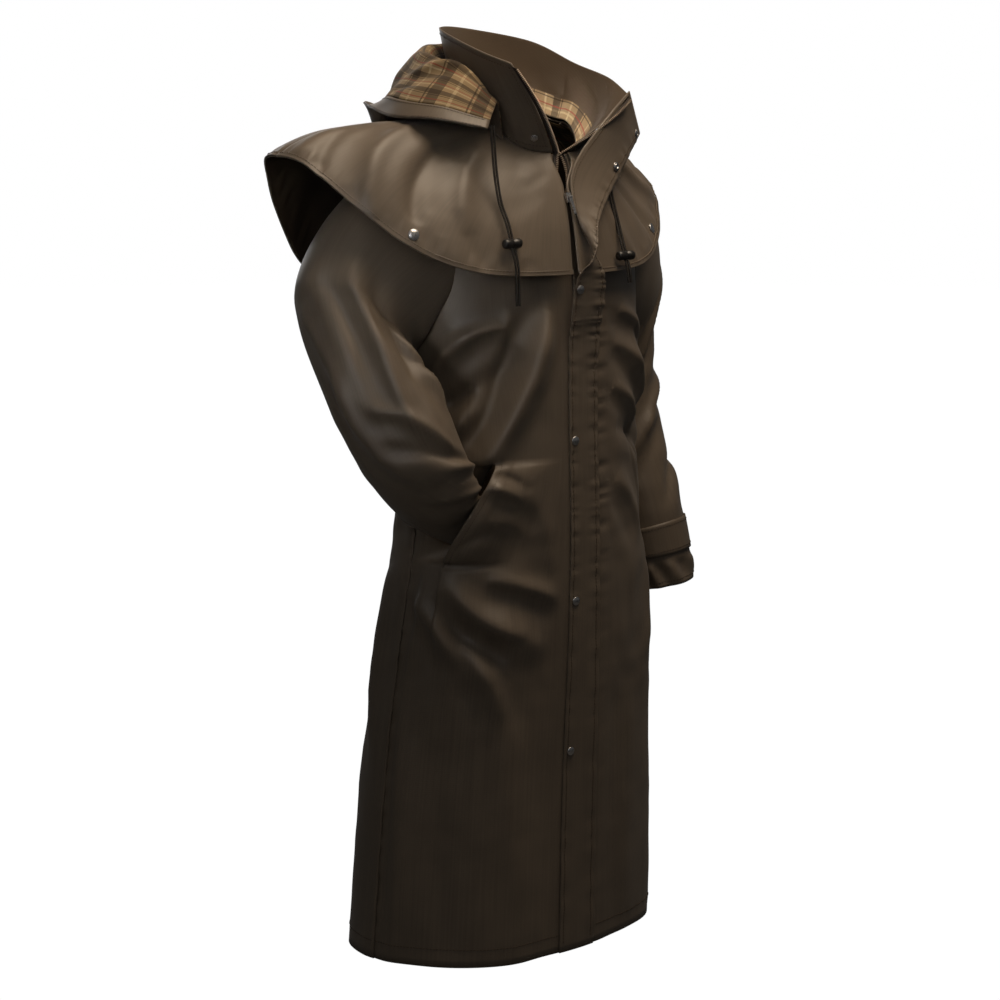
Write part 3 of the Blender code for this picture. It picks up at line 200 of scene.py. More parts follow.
CAPE_BINDING = 0.955        # share down the cape where its bound edge starts
CAPE_CORE = (0.0, 0.03, -0.4)   # a place inside the body, below the cape

# Upper edge of the stand collar, by angle round the neck: the open front leans out to both sides
COLLAR_END = 172.0          # angle of the collar's zip edges
COLLAR_COLUMNS = ("angle", "top_x", "top_y", "top_z", "bulge")
COLLAR = (
    (-172.0, -0.104, -0.104, 0.074, 0.010),
    (-140.0, -0.112, -0.060, 0.088, 0.010),
    (-95.0, -0.106, 0.008, 0.108, 0.006),
    (-45.0, -0.080, 0.070, 0.124, 0.004),
    (0.0, 0.000, 0.098, 0.122, 0.004),
    (45.0, 0.082, 0.064, 0.106, 0.004),
    (95.0, 0.118, 0.004, 0.074, 0.006),
    (140.0, 0.126, -0.060, 0.052, 0.008),
    (172.0, 0.116, -0.106, 0.030, 0.010),
)

# Hood folded down round the collar, by angle round the neck: outward and upward steps from the neck seam
HOOD_COLUMNS = ("angle", "rise_out", "rise_up", "crest_out", "crest_up", "fall_out", "fall_up",
                "turn_out", "turn_up", "edge_out", "edge_up")
HOOD = (
    (-128.0, 0.016, 0.036, 0.026, 0.048, 0.040, 0.040, 0.054, 0.030, 0.068, 0.016),
    (-100.0, 0.020, 0.052, 0.034, 0.072, 0.054, 0.054, 0.076, 0.030, 0.096, 0.004),
    (-60.0, 0.022, 0.062, 0.040, 0.082, 0.062, 0.056, 0.086, 0.028, 0.106, 0.006),
    (-25.0, 0.020, 0.060, 0.038, 0.084, 0.072, 0.050, 0.112, -0.060, 0.140, 0.004),
    (0.0, 0.022, 0.050, 0.046, 0.060, 0.082, 0.000, 0.122, -0.130, 0.156, -0.024),
    (25.0, 0.024, 0.050, 0.050, 0.056, 0.084, 0.016, 0.122, -0.090, 0.150, -0.010),
    (60.0, 0.026, 0.042, 0.046, 0.046, 0.072, 0.032, 0.096, 0.002, 0.110, 0.000),
    (100.0, 0.020, 0.024, 0.032, 0.028, 0.046, 0.022, 0.058, 0.010, 0.068, -0.002),
    (128.0, 0.010, 0.014, 0.016, 0.018, 0.024, 0.014, 0.030, 0.008, 0.036, 0.002),
)
HOOD_SEAT = 0.04            # where the hood stands on the cape, as a share of the cape's length
HOOD_STEP = 0.0024          # cape to the hood's seam
HOOD_ENDS = 126.0           # angle of the hood's front corners, from the centre back
HOOD_STOPS = (0.0, 0.2, 0.38, 0.58, 0.8, 1.0)   # shares of the hood's length at the table's points
HOOD_WIDEN = 1.12           # the hood spreads more to the sides than to the back
HOOD_BAND = 0.87            # share of the hood's length where the brim band starts
HOOD_BAND_STEP = 0.002      # share between the lining's end and the band

# Storm flap above its top snap, folded open to the wearer's left: root line and free edge, each x, y, z
FLAP_OPEN = (
    (0.1235, -0.1005, 0.029, 0.164, -0.078, -0.023),
    (0.0690, -0.1110, -0.010, 0.112, -0.108, -0.056),
    (0.0060, -0.1130, -0.070, 0.054, -0.131, -0.104),
    (-0.0080, -0.1320, -0.118, 0.014, -0.150, -0.142),
    (-0.0070, -0.1470, -0.152, 0.000, -0.168, -0.170),
    (0.0090, -0.1570, -0.187, -0.018, -0.170, -0.196),
)
FLAP_GIRTH = 0.205          # half width of the body that the flap's edges are measured on
FLAP_LIFT = 0.0026          # body to the flap's outer face
FLAP_OVER_CAPE = 0.0210     # how far the flap stands off where it passes the cape's edge
FLAP_SETTLE = 0.110         # length over which it comes back to the body
FLAP_OPEN_STEPS = 2         # rows of cloth between two lines of the open part
CAPE_HANG = 0.010           # least step from where the flap lies shut to its next row
FLAP_SHUT_DOWN = 0.212      # where the flap lies shut again, just below the cape
FLAP_PROBE = 0.1            # step across the flap for its direction under a snap
FLAP_SNAP_DOWN = (0.224, 0.438, 0.663, 0.880)

# Routes of the drawcords from the hood's front corners, x, y, z; each is two strands through a toggle
CORD_RIGHT = (
    (-0.1330, -0.1007, -0.0066),
    (-0.1325, -0.1020, -0.0350),
    (-0.1315, -0.1050, -0.0700),
    (-0.1305, -0.1130, -0.1080),
    (-0.1300, -0.1270, -0.1350),
    (-0.1300, -0.1368, -0.1620),
    (-0.1290, -0.1455, -0.1930),
    (-0.1285, -0.1470, -0.2450),
)
CORD_LEFT = (
    (0.1080, -0.0829, -0.0235),
    (0.1000, -0.0890, -0.0550),
    (0.0870, -0.0990, -0.0800),
    (0.0752, -0.1120, -0.1000),
    (0.0715, -0.1335, -0.1500),
    (0.0690, -0.1495, -0.1870),
    (0.0690, -0.1560, -0.2050),
    (0.0700, -0.1580, -0.2240),
)
STRAND_SPREAD = 0.0024
TOGGLE_AT = 5               # row of the route where the toggle sits
TOGGLE_LENGTH = 0.030
TOGGLE_RADIUS = 0.0066

SEAM_SHUT = 0.02            # half the gap between two sewn panels of the finished coat, as an angle
SEAM_LAP = 1.6              # angle that a front runs on under the back at the side seam
LAP_DEPTH = 0.0026          # how far it lies under the back there
COLLAR_PLAIN = 0.088        # plain depth of the collar's inner face, above the check along its foot
FLAP_UNDER = 0.15           # share of its width that the open flap runs on under the zip tape

POCKET_SPLIT = 7 / 12       # share of a front's columns that lie before the pocket line
FRONT_COLUMNS = 84
SLIT_END = 0.008            # length over which a pocket's welt starts past the slit's ends
WELT_HEIGHT = 0.0012
WELT_WIDTH = 0.027
WELT_EDGE = 0.003           # width over which the welt steps down
WELT_LINE = 0.010           # pocket's lip to the line of stitches on its welt
WELT_GROOVE = (0.0009, 0.0016)   # depth and half width of the groove that the stitches draw in
LIP_CALM = (0.8, 0.012)     # share of the creases that a pocket's lip takes away, and how far from it
LAP_TURN = 0.3              # angle over which a front goes under the back
ARMHOLE_ENDS = 2.0          # width of the armhole, as an angle, from which the side seam laps
CLOTH_PROBE = 1e-3          # step along a piece's own two shares for its direction out
BAND_SCALE = 0.314          # a wave node's scale times the distance between its bands in metres

# Check of the linings: one whole repeat, then each line's middle, half width, colour, strength and ways
CHECK_REPEAT = 0.062
CHECK_LINES = (
    (0.0545, 0.0022, "check_cream", 0.75, (0, 1)),
    (0.018, 0.0085, "check_dark", 0.68, (0, 1)),
    (0.031, 0.0012, "check_dark", 0.7, (0, 1)),
    (0.046, 0.0014, "check_red", 0.75, (1,)),
)

# Studio: the camera at the photo's angle, and each light's place, aim, size, colour and spread in degrees
CAMERA_PLACE = (-2.342, -2.601, 0.075)
CAMERA_TURN = (80.0, 0.0, -41.63)
LENS = 89.2                 # mm
SENSOR = 36.0               # mm
WHITE = (1.0, 1.0, 1.0)
LIGHTS = {
    "key": ((0.10, -0.50, 1.32), (0.0, -0.08, -0.2), 1.1, (1.0, 0.83, 0.64), 180.0),
    "side": ((-2.2, -0.9, 0.15), (-0.29, -0.02, -0.19), 0.4, WHITE, 16.0),
    "back": ((0.5, 2.5, 0.5), (0.0, 0.1, -0.5), 1.6, WHITE, 180.0),
    "neck": ((-0.16, -0.45, 0.95), (0.05, 0.0, -0.05), 0.05, WHITE, 10.0),
    "fill": ((-2.0, -1.8, 0.8), (-0.05, -0.1, -0.4), 1.2, WHITE, 180.0),
}
FLOOR_GLOW = 1.06           # brightness of the floor as the camera sees it
FLOOR_BOUNCE = (0.10, 0.10, 0.10, 1.0)   # the floor's colour for light that falls back on the coat
SURROUND_LIGHT = 0.085      # light of the white surround on the coat


def column(table, names, name):
    """One named column of a table."""
    return np.array([row[names.index(name)] for row in table], float)


def smooth(levels, values, at):
    """Cubic curve through a column's values at rising levels, read at the places `at`."""
    slopes = np.gradient(values, levels)
    i = np.clip(np.searchsorted(levels, at, side="right") - 1, 0, len(levels) - 2)
    span = levels[i + 1] - levels[i]
    f = np.clip((at - levels[i]) / span, 0.0, 1.0)
    start = (2 * f**3 - 3 * f**2 + 1) * values[i] + (f**3 - 2 * f**2 + f) * span * slopes[i]
    end = (3 * f**2 - 2 * f**3) * values[i + 1] + (f**3 - f**2) * span * slopes[i + 1]
    return start + end


def ease(f):
    """Soft step from 0 to 1."""
    f = np.clip(f, 0.0, 1.0)
    return f * f * (3 - 2 * f)


def fade_in(value, start, over):
    """Soft step from 0 at a start to 1 a stretch further on."""
    return ease((value - start) / over)


def from_front(angle):
    """Angle from the centre front, the same to both sides."""
    return np.abs(np.mod(angle + 180.0, 360.0) - 180.0)


def ring(angle, z, half_width, y, sweep=1.0):
    """Point of a body ring: z and y are (front, side, back) values, angle 0 is the centre front.

    A larger sweep keeps the side's height for longer on the way to front and back.
    """
    turn = np.radians(angle)
    facing = np.cos(turn)
    share = np.abs(facing)
    to_front = facing > 0
    end_y = np.where(to_front, y[0], y[2])
    end_z = np.where(to_front, z[0], z[2])
    return np.stack([half_width * np.sin(turn), y[1] + (end_y - y[1]) * share,
                     z[1] + (end_z - z[1]) * ease(share) ** sweep], -1)


def torso_plain(angle, down):
    """Body surface without folds."""
    levels = column(TORSO, TORSO_COLUMNS, "down")
    read = {name: smooth(levels, column(TORSO, TORSO_COLUMNS, name), down) for name in TORSO_COLUMNS[1:]}
    return ring(angle, (read["front_z"], read["side_z"], read["back_z"]), read["half_width"],
                (read["front_y"], read["side_y"], read["back_y"]))


def fold_height(angle, down, folds, girth=FOLD_GIRTH):
    """Height of soft ridges and troughs on the unrolled body."""
    total = np.zeros(np.broadcast(angle, down).shape)
    across = np.radians(np.mod(angle + 90.0, 360.0) - 90.0) * girth
    for a1, d1, a2, d2, height, half_width in folds:
        start = np.array([np.radians(a1) * girth, d1])
        way = np.array([np.radians(a2) * girth, d2]) - start
        along = ((across - start[0]) * way[0] + (down - start[1]) * way[1]) / (way @ way)
        near = np.clip(along, 0.0, 1.0)
        gap = np.hypot(across - start[0] - near * way[0], down - start[1] - near * way[1])
        total = total + height * np.exp(-(gap / half_width) ** 2)
    return total


def to_unit(vectors):
    """Vectors drawn to a length of 1."""
    return vectors / np.maximum(np.linalg.norm(vectors, axis=-1, keepdims=True), 1e-12)


def normals(form, u, v, step=1e-4):
    """Unit normals of a form, from small steps along its two parameters."""
    return to_unit(np.cross(form(u + step, v) - form(u - step, v), form(u, v + step) - form(u, v - step)))


def torso(angle, down, lift=0.0):
    """Body surface with its folds, moved out by `lift`; the folds fade near the neck and under the flap."""
    def steep(a, d):
        return torso_plain(a * 180.0, d)
    out = normals(steep, angle / 180.0, down) * -1.0
    fade = fade_in(down, *FOLDS_FROM) * fade_in(from_front(angle), *FOLDS_CLEAR)
    height = fold_height(angle, down, BODY_FOLDS) * fade + lift
    return torso_plain(angle, down) + out * height[..., None]


def armhole_angle(down):
    """How far a panel's side edge draws back from the side line, at the armhole."""
    middle = (SHOULDER_DOWN + UNDERARM_DOWN) / 2
    half = (UNDERARM_DOWN - SHOULDER_DOWN) / 2
    return ARMHOLE_ANGLE * np.sqrt(np.clip(1.0 - ((down - middle) / half) ** 2, 0.0, 1.0))


def armhole_down(turn):
    """Distance down of the armhole's edge at a turn of 0 (shoulder tip) to 180 degrees (underarm)."""
    return SHOULDER_DOWN + (UNDERARM_DOWN - SHOULDER_DOWN) * (1.0 - np.cos(np.radians(turn))) / 2


def panel_rows():
    """Levels of a body panel's rows: shoulder, armhole in even turns, then down to the hem."""
    shoulder = np.linspace(0.0, SHOULDER_DOWN, 4)[:-1]
    armhole = armhole_down(np.linspace(0.0, 180.0, 9))
    return np.concatenate([shoulder, armhole, LOWER_ROWS])


def front_edge_angle(down, sign):
    """Angle of a front's centre edge: shut below the slider, opening to the neck above it."""
    opening = ease((SLIDER_DOWN - down) / SLIDER_DOWN)
    return sign * (FRONT_GAP + NECK_OPEN_ANGLE * opening) + CLOSING_ANGLE * (1.0 - opening)


def pocket_angle(pocket, down):
    """Angle of the pocket line at each level; it stays upright above and below the slit."""
    return np.interp(down, (pocket[1], pocket[3]), (pocket[0], pocket[2]))


def from_rows(rows):
    """Level at a share of 0..1 that steps evenly through a list of rows."""
    def level(share):
        return np.interp(share * (len(rows) - 1), np.arange(len(rows)), rows)
    return level


def sleeve_form(stations, sign, turn, along):
    """Sleeve surface; turn 0 is its outer line, 90 the front, 180 the inner line; along is 0 at the top."""
    marks = np.linspace(0.0, 1.0, len(stations))
    read = {name: smooth(marks, column(stations, SLEEVE_COLUMNS, name), along) for name in SLEEVE_COLUMNS}
    step = 0.01
    ends = [np.stack([smooth(marks, column(stations, SLEEVE_COLUMNS, name), np.clip(along + s, 0, 1))
                      for name in ("x", "y", "z")], -1) for s in (-step, step)]
    way = to_unit(ends[1] - ends[0])
    front = to_unit(np.array([0.0, -1.0, 0.0]) - way * (-way[..., 1:2]))
    outer = np.cross(way, front)
    twist = np.radians(read["twist"])[..., None]
    turned = front * np.cos(twist) + outer * np.sin(twist)
    outer = outer * np.cos(twist) - front * np.sin(twist)
    centre = np.stack([read["x"], read["y"], read["z"]], -1)
    angle = np.radians(turn)
    arm = (centre + outer * (np.cos(angle) * read["outward"])[..., None]
           + turned * (np.sin(angle) * read["forward"])[..., None])
    drop = UNDERARM_TILT * (1.0 - np.cos(angle)) / 2 * (1.0 - ease(along / TILT_REACH))
    arm = arm - np.array([0.0, 0.0, 1.0]) * drop[..., None]
    fold = np.mod(turn, 360.0)
    down = armhole_down(np.where(fold > 180.0, 360.0 - fold, fold))
    back = np.where(fold > 180.0, -1.0, 1.0)
    loop = torso_plain(-(90.0 - back * armhole_angle(down)), down) + np.array([-ARMHOLE_STEP, 0.0, 0.0])
    share = ease(along / ARMHOLE_BLEND)[..., None]
    points = clear_of_body(loop * (1 - share) + arm * share, along)
    return points * np.array([-sign, 1.0, 1.0])


def clear_of_body(points, along):
    """Points of a right sleeve, moved out of the body's side down to where the arm leaves it."""
    down = -points[..., 2]
    levels = column(TORSO, TORSO_COLUMNS, "down")
    read = {name: smooth(levels, column(TORSO, TORSO_COLUMNS, name), np.clip(down, 0.0, HEM_DOWN))
            for name in ("half_width", "front_y", "side_y", "back_y")}
    behind = points[..., 1] > read["side_y"]
    depth = np.where(behind, read["back_y"], read["front_y"]) - read["side_y"]
    share = np.clip((points[..., 1] - read["side_y"]) / depth, 0.0, 1.0)
    step = ARM_TOUCH + ARM_CLEAR * ease(along / ARMHOLE_BLEND)
    limit = -read["half_width"] * np.sqrt(1.0 - share**2) - step
    held = (along < ARM_LEAVES) & (along > 0.0) & (down > SHOULDER_DOWN)
    moved = np.where(held, np.minimum(points[..., 0], limit), points[..., 0])
    return np.concatenate([moved[..., None], points[..., 1:]], -1)


def sleeve_middle(stations, sign, along):
    """Middle of the sleeve, between its outer and inner lines."""
    outer = sleeve_form(stations, sign, 0.0 * along, along)
    inner = sleeve_form(stations, sign, 180.0 + 0.0 * along, along)
    return (outer + inner) / 2


def cape_form(angle, share, lift=0.0):
    """Cape surface; share is 0 at the neck and 1 at the bound edge."""
    def plain(a, s):
        marks = np.linspace(0.0, 1.0, len(CAPE))
        read = {name: smooth(marks, column(CAPE, CAPE_COLUMNS, name), s) for name in CAPE_COLUMNS}
        on_right = np.sin(np.radians(a * 180.0)) < 0
        half = np.where(on_right, read["half_right"], read["half_left"])
        side_z = np.where(on_right, read["right_z"], read["left_z"])
        return ring(a * 180.0, (read["front_z"], side_z, read["back_z"]), half,
                    (read["front_y"], read["side_y"], read["back_y"]), CAPE_SWEEP)
    points = plain(angle / 180.0, share)
    if np.any(lift):
        points = points - normals(plain, angle / 180.0, share) * lift
    return points


def cape_edge_angle(share, sign):
    """Angle of the cape's front edge: shut below the slider, open with the zip above it."""
    opening = ease(1.0 - share / CAPE_CLOSES)
    open_angle = CAPE_EDGE_GAP + (NECK_OPEN_ANGLE + CAPE_OPEN_MORE) * opening
    return sign * open_angle + CLOSING_ANGLE * (1.0 - opening)


def collar_form(angle, share):
    """Stand collar; angle 0 is the centre back, share is 0 at the neck seam and 1 at the upper edge."""
    angles = column(COLLAR, COLLAR_COLUMNS, "angle")
    read = {name: smooth(angles, column(COLLAR, COLLAR_COLUMNS, name), angle) for name in COLLAR_COLUMNS[1:]}
    body_angle = 180.0 - angle * (180.0 - NECK_OPEN_ANGLE) / COLLAR_END
    base = torso_plain(body_angle, np.zeros_like(angle)) + np.array([0.0, 0.0, COLLAR_STEP])
    top = np.stack([read["top_x"], read["top_y"], read["top_z"]], -1)
    out = np.stack([np.sin(np.radians(body_angle)), -np.cos(np.radians(body_angle)), 0 * angle], -1)
    swell = (read["bulge"] * np.sin(np.pi * share))[..., None]
    return base + (top - base) * share[..., None] + out * swell


def hood_form(angle, share, lift=0.0):
    """Folded hood; angle 0 is the centre back, share is 0 at the neck seam and 1 at the brim."""
    angles = column(HOOD, HOOD_COLUMNS, "angle")
    stops = np.array(HOOD_STOPS)

    def plain(a, s):
        turn = a * 180.0
        read = {name: smooth(angles, column(HOOD, HOOD_COLUMNS, name), turn) for name in HOOD_COLUMNS[1:]}
        names = ("rise", "crest", "fall", "turn", "edge")
        outs = [0 * turn] + [read[n + "_out"] for n in names]
        ups = [0 * turn] + [read[n + "_up"] for n in names]
        out = section(stops, outs, s)
        up = section(stops, ups, s)
        body_angle = 180.0 - turn
        seat = cape_form(body_angle, HOOD_SEAT + 0 * turn, HOOD_STEP)
        facing = np.radians(body_angle)
        way = np.stack([np.sin(facing) * HOOD_WIDEN, -np.cos(facing), 0 * turn], -1)
        return seat + way * out[..., None] + np.array([0.0, 0.0, 1.0]) * up[..., None]

    points = plain(angle / 180.0, share)
    if np.any(lift):
        points = points + normals(plain, angle / 180.0, share) * lift
    return points


def section(stops, values, share):
    """Cubic curve through values that differ from point to point, at stops that are the same for all."""
    stack = np.stack(values, 0)
    slopes = np.gradient(stack, stops, axis=0)
    i = np.clip(np.searchsorted(stops, share, side="right") - 1, 0, len(stops) - 2)
    span = stops[i + 1] - stops[i]
    f = np.clip((share - stops[i]) / span, 0.0, 1.0)
    here = np.arange(len(share))
    return ((2 * f**3 - 3 * f**2 + 1) * stack[i, here] + (f**3 - 2 * f**2 + f) * span * slopes[i, here]
            + (3 * f**2 - 2 * f**3) * stack[i + 1, here] + (f**3 - f**2) * span * slopes[i + 1, here])


def flap_lift(down):
    """How far the shut flap stands off the body; most where it passes the cape's edge."""
    return FLAP_LIFT + FLAP_OVER_CAPE * ease(1.0 - (down - FLAP_SHUT_DOWN) / FLAP_SETTLE)


def flap_form(u, share):
    """Storm flap; u runs from its sewn to its free edge, share from its top to the hem, row by row."""
    lines = np.array(FLAP_OPEN)
    downs = np.array([row for row in panel_rows() if row > FLAP_SHUT_DOWN + CAPE_HANG])
    downs = np.concatenate([[FLAP_SHUT_DOWN], downs])
    first = len(lines) * FLAP_OPEN_STEPS
    at = share * (first + len(downs) - 1)
    sewn, free = np.degrees(np.arcsin(np.array([FLAP_ROOT_X, FLAP_FREE_X]) / FLAP_GIRTH))
    down = np.interp(at, first + np.arange(len(downs)), downs)
    shut = torso(sewn + (free - sewn) * u, down, flap_lift(down))
    steps = np.concatenate([np.arange(len(lines)) * FLAP_OPEN_STEPS, [first, first + 1]]).astype(float)
    edges = []
    for start, angle in ((0, sewn), (3, free)):
        low = torso(angle + np.zeros(2), downs[:2], flap_lift(downs[:2]))
        line = np.concatenate([lines[:, start:start + 3], low])
        edges.append(np.stack([smooth(steps, line[:, k], at) for k in range(3)], -1))
    opened = edges[0] + (edges[1] - edges[0]) * u[..., None]
    return np.where((at < first)[..., None], opened, shut)


def flap_rows():
    """Number of rows of the storm flap."""
    return len(FLAP_OPEN) * FLAP_OPEN_STEPS + sum(row > FLAP_SHUT_DOWN + CAPE_HANG for row in panel_rows())


def look_at(direction):
    """A direction at a length of 1, and two more square to it."""
    direction = to_unit(direction)
    aside = to_unit(np.cross(direction, (0.0, 0.0, 1.0)))
    return direction, aside, np.cross(direction, aside)


def zip_edge(sign, share):
    """Middle of the edge under a zip tape, from the slider (0) to the collar's top (1), and its way on."""
    lower = np.clip(share / ZIP_NECK_SHARE, 0.0, 1.0)
    upper = np.clip((share - ZIP_NECK_SHARE) / (1.0 - ZIP_NECK_SHARE), 0.0, 1.0)
    down = SLIDER_DOWN * (1.0 - lower)
    angle = front_edge_angle(down, sign)
    body = torso(angle, down, -CLOTH / 2)
    ahead = torso(angle - sign, down, -CLOTH / 2)
    end = sign * COLLAR_END + 0 * share
    collar = collar_form(end, upper)
    way = collar - collar_form(end - 2 * sign, upper)
    rise = collar_form(end, upper + ZIP_STEP) - collar_form(end, upper - ZIP_STEP)
    inner = np.cross(way, rise) * -sign
    collar = collar + to_unit(inner) * COLLAR_WALL / 2
    on_collar = (share > ZIP_NECK_SHARE)[..., None]
    way = np.where(on_collar, way, ahead - body)
    return np.where(on_collar, collar, body), to_unit(way)


def on_flap(u, row):
    """Point and outward direction on the storm flap, between two of its rows."""
    rows = flap_rows()
    low = np.floor(row)
    across = u + np.array([-FLAP_PROBE, FLAP_PROBE, -FLAP_PROBE, FLAP_PROBE])
    ends = flap_form(across, (low + np.array([0, 0, 1, 1])) / rows)
    upper, lower = (ends[0] + ends[1]) / 2, (ends[2] + ends[3]) / 2
    out = to_unit(np.cross(ends[1] - ends[0], lower - upper))
    return upper + (lower - upper) * (row - low), out if out[1] < 0 else -out


# Creases of the body: start and end as angle round it and distance down, height, half width, sideways bow
BODY_CREASES = (
    (-17, 0.255, -48, 0.466, 0.0150, 0.021, 0.010),
    (-34, 0.300, -56, 0.440, -0.0100, 0.018, 0.008),
    (-50, 0.488, -33, 0.514, 0.0065, 0.010, 0.004),
    (-47, 0.476, -33, 0.492, -0.0060, 0.008, 0.004),
    (-60, 0.578, -44, 0.556, -0.0055, 0.010, 0.006),
    (-48, 0.540, -30, 0.560, 0.0040, 0.014, 0.006),
    (-76, 0.356, -38, 0.274, 0.0120, 0.014, 0.016),
    (-76, 0.392, -52, 0.360, -0.0130, 0.014, -0.006),
    (-58, 0.400, -80, 0.470, 0.0065, 0.012, 0.006),
    (-34, 0.250, -44, 0.330, 0.0055, 0.014, 0.004),
    (-60, 0.640, -29, 0.704, 0.0120, 0.015, -0.008),
    (-62, 0.676, -34, 0.738, -0.0085, 0.016, -0.008),
    (-46, 0.622, -13, 0.660, 0.0095, 0.013, 0.006),
    (-82, 0.655, -56, 0.742, 0.0100, 0.016, 0.008),
    (-54, 0.705, -36, 0.818, 0.0095, 0.018, 0.006),
    (-44, 0.700, -28, 0.830, -0.0055, 0.018, 0.006),
    (-78, 0.610, -84, 0.760, 0.0060, 0.016, 0.006),
    (-30, 0.500, -16, 0.620, 0.0050, 0.020, 0.010),
    (-36, 0.830, -26, 1.170, 0.0050, 0.028, 0.010),
    (-60, 0.850, -52, 1.170, -0.0050, 0.032, -0.008),
    (-84, 0.800, -78, 1.170, 0.0055, 0.030, 0.008),
    (24, 0.262, 60, 0.345, 0.0090, 0.013, 0.012),
    (20, 0.310, 56, 0.395, 0.0075, 0.012, 0.010),
    (18, 0.370, 50, 0.440, 0.0070, 0.012, 0.010),
    (22, 0.430, 60, 0.470, -0.0065, 0.015, 0.006),
    (40, 0.290, 62, 0.330, -0.0070, 0.012, -0.006),
    (20, 0.500, 44, 0.580, 0.0055, 0.018, 0.008),
    (60, 0.400, 82, 0.470, 0.0070, 0.014, 0.008),
    (52, 0.640, 40, 0.780, 0.0060, 0.020, 0.008),
    (30, 0.800, 26, 1.170, 0.0045, 0.028, -0.008),
    (70, 0.760, 64, 1.170, -0.0050, 0.032, 0.010),
    (106, 0.300, 150, 0.400, 0.0085, 0.016, 0.016),
    (104, 0.360, 146, 0.450, -0.0070, 0.018, 0.012),
    (254, 0.300, 212, 0.400, 0.0080, 0.016, -0.016),
    (256, 0.370, 216, 0.460, -0.0070, 0.018, -0.012),
    (140, 0.470, 214, 0.500, 0.0065, 0.020, 0.012),
    (130, 0.540, 200, 0.560, -0.0050, 0.022, -0.010),
    (112, 0.620, 104, 0.860, 0.0060, 0.024, 0.010),
    (248, 0.620, 256, 0.880, 0.0065, 0.024, -0.010),
    (166, 0.640, 162, 1.170, 0.0050, 0.034, 0.012),
    (196, 0.700, 200, 1.170, -0.0050, 0.034, -0.012),
)

# Creases of the sleeves: start and end as turn and share along, height, half width, bow
SLEEVE_RADIUS = 0.075
SLEEVE_REACH = 0.62         # length of a sleeve along its middle
RIGHT_CREASES = (
    (44, 0.18, 66, 0.56, 0.0085, 0.012, 0.008),
    (64, 0.16, 92, 0.46, -0.0075, 0.013, 0.010),
    (18, 0.20, 40, 0.44, -0.0060, 0.014, 0.008),
    (84, 0.30, 128, 0.56, 0.0080, 0.012, 0.012),
    (104, 0.40, 160, 0.54, -0.0070, 0.011, 0.008),
    (30, 0.50, 96, 0.64, 0.0075, 0.011, 0.012),
    (24, 0.58, 110, 0.71, -0.0065, 0.010, 0.010),
    (40, 0.66, 130, 0.76, 0.0065, 0.010, 0.008),
    (4, 0.40, 30, 0.66, 0.0065, 0.014, -0.008),
    (-20, 0.26, 6, 0.54, 0.0055, 0.015, 0.008),
    (10, 0.72, 96, 0.84, 0.0050, 0.009, 0.006),
    (30, 0.80, 110, 0.90, -0.0040, 0.009, 0.006),
    (120, 0.20, 176, 0.36, 0.0060, 0.012, -0.008),
    (200, 0.38, 290, 0.56, 0.0080, 0.013, 0.012),
    (210, 0.50, 300, 0.62, -0.0065, 0.012, 0.010),
    (190, 0.62, 280, 0.70, 0.0065, 0.012, 0.010),
    (230, 0.18, 300, 0.36, 0.0065, 0.014, -0.010),
    (240, 0.74, 320, 0.86, 0.0050, 0.010, 0.008),
)
LEFT_CREASES = (
    (30, 0.20, 90, 0.40, 0.0080, 0.013, 0.012),
    (50, 0.34, 110, 0.50, -0.0070, 0.013, 0.010),
    (20, 0.46, 100, 0.60, 0.0080, 0.012, 0.010),
    (60, 0.56, 140, 0.66, 0.0070, 0.012, 0.010),
    (10, 0.64, 90, 0.74, -0.0060, 0.012, 0.010),
    (100, 0.26, 160, 0.42, 0.0065, 0.013, -0.008),
    (-30, 0.34, 30, 0.56, 0.0065, 0.014, 0.010),
    (200, 0.40, 280, 0.58, 0.0080, 0.013, 0.012),
    (220, 0.52, 300, 0.64, -0.0065, 0.013, 0.010),
    (190, 0.66, 270, 0.76, 0.0065, 0.012, 0.010),
    (250, 0.20, 320, 0.36, 0.0065, 0.014, -0.010),
)

# Folds of the cape: start and end as angle and share down, height, half width, bow
CAPE_RADIUS = 0.26
CAPE_REACH = 0.25
CAPE_CREASES = (
    (-76, 0.34, -56, 0.98, 0.0095, 0.018, 0.006),
    (-66, 0.22, -47, 0.80, -0.0085, 0.014, 0.004),
    (-54, 0.22, -34, 0.72, 0.0060, 0.016, 0.004),
    (-84, 0.55, -72, 1.00, -0.0050, 0.014, 0.004),
    (-40, 0.60, -26, 0.98, -0.0035, 0.016, 0.006),
    (14, 0.40, 24, 0.95, 0.0030, 0.016, 0.004),
    (34, 0.30, 44, 0.90, -0.0050, 0.016, 0.006),
    (50, 0.25, 62, 0.95, 0.0070, 0.016, 0.006),
    (70, 0.35, 76, 0.98, -0.0050, 0.014, 0.004),
)

# Soft waves of the cape: angle, share along of the wave's head, height, half width in metres
CAPE_WAVES = (
    (104, 0.40, 0.0060, 0.030),
    (132, 0.35, -0.0050, 0.034),
    (158, 0.40, 0.0060, 0.036),
    (184, 0.35, -0.0050, 0.034),
    (210, 0.40, 0.0060, 0.036),
    (236, 0.35, -0.0050, 0.034),
    (258, 0.45, 0.0060, 0.028),
)

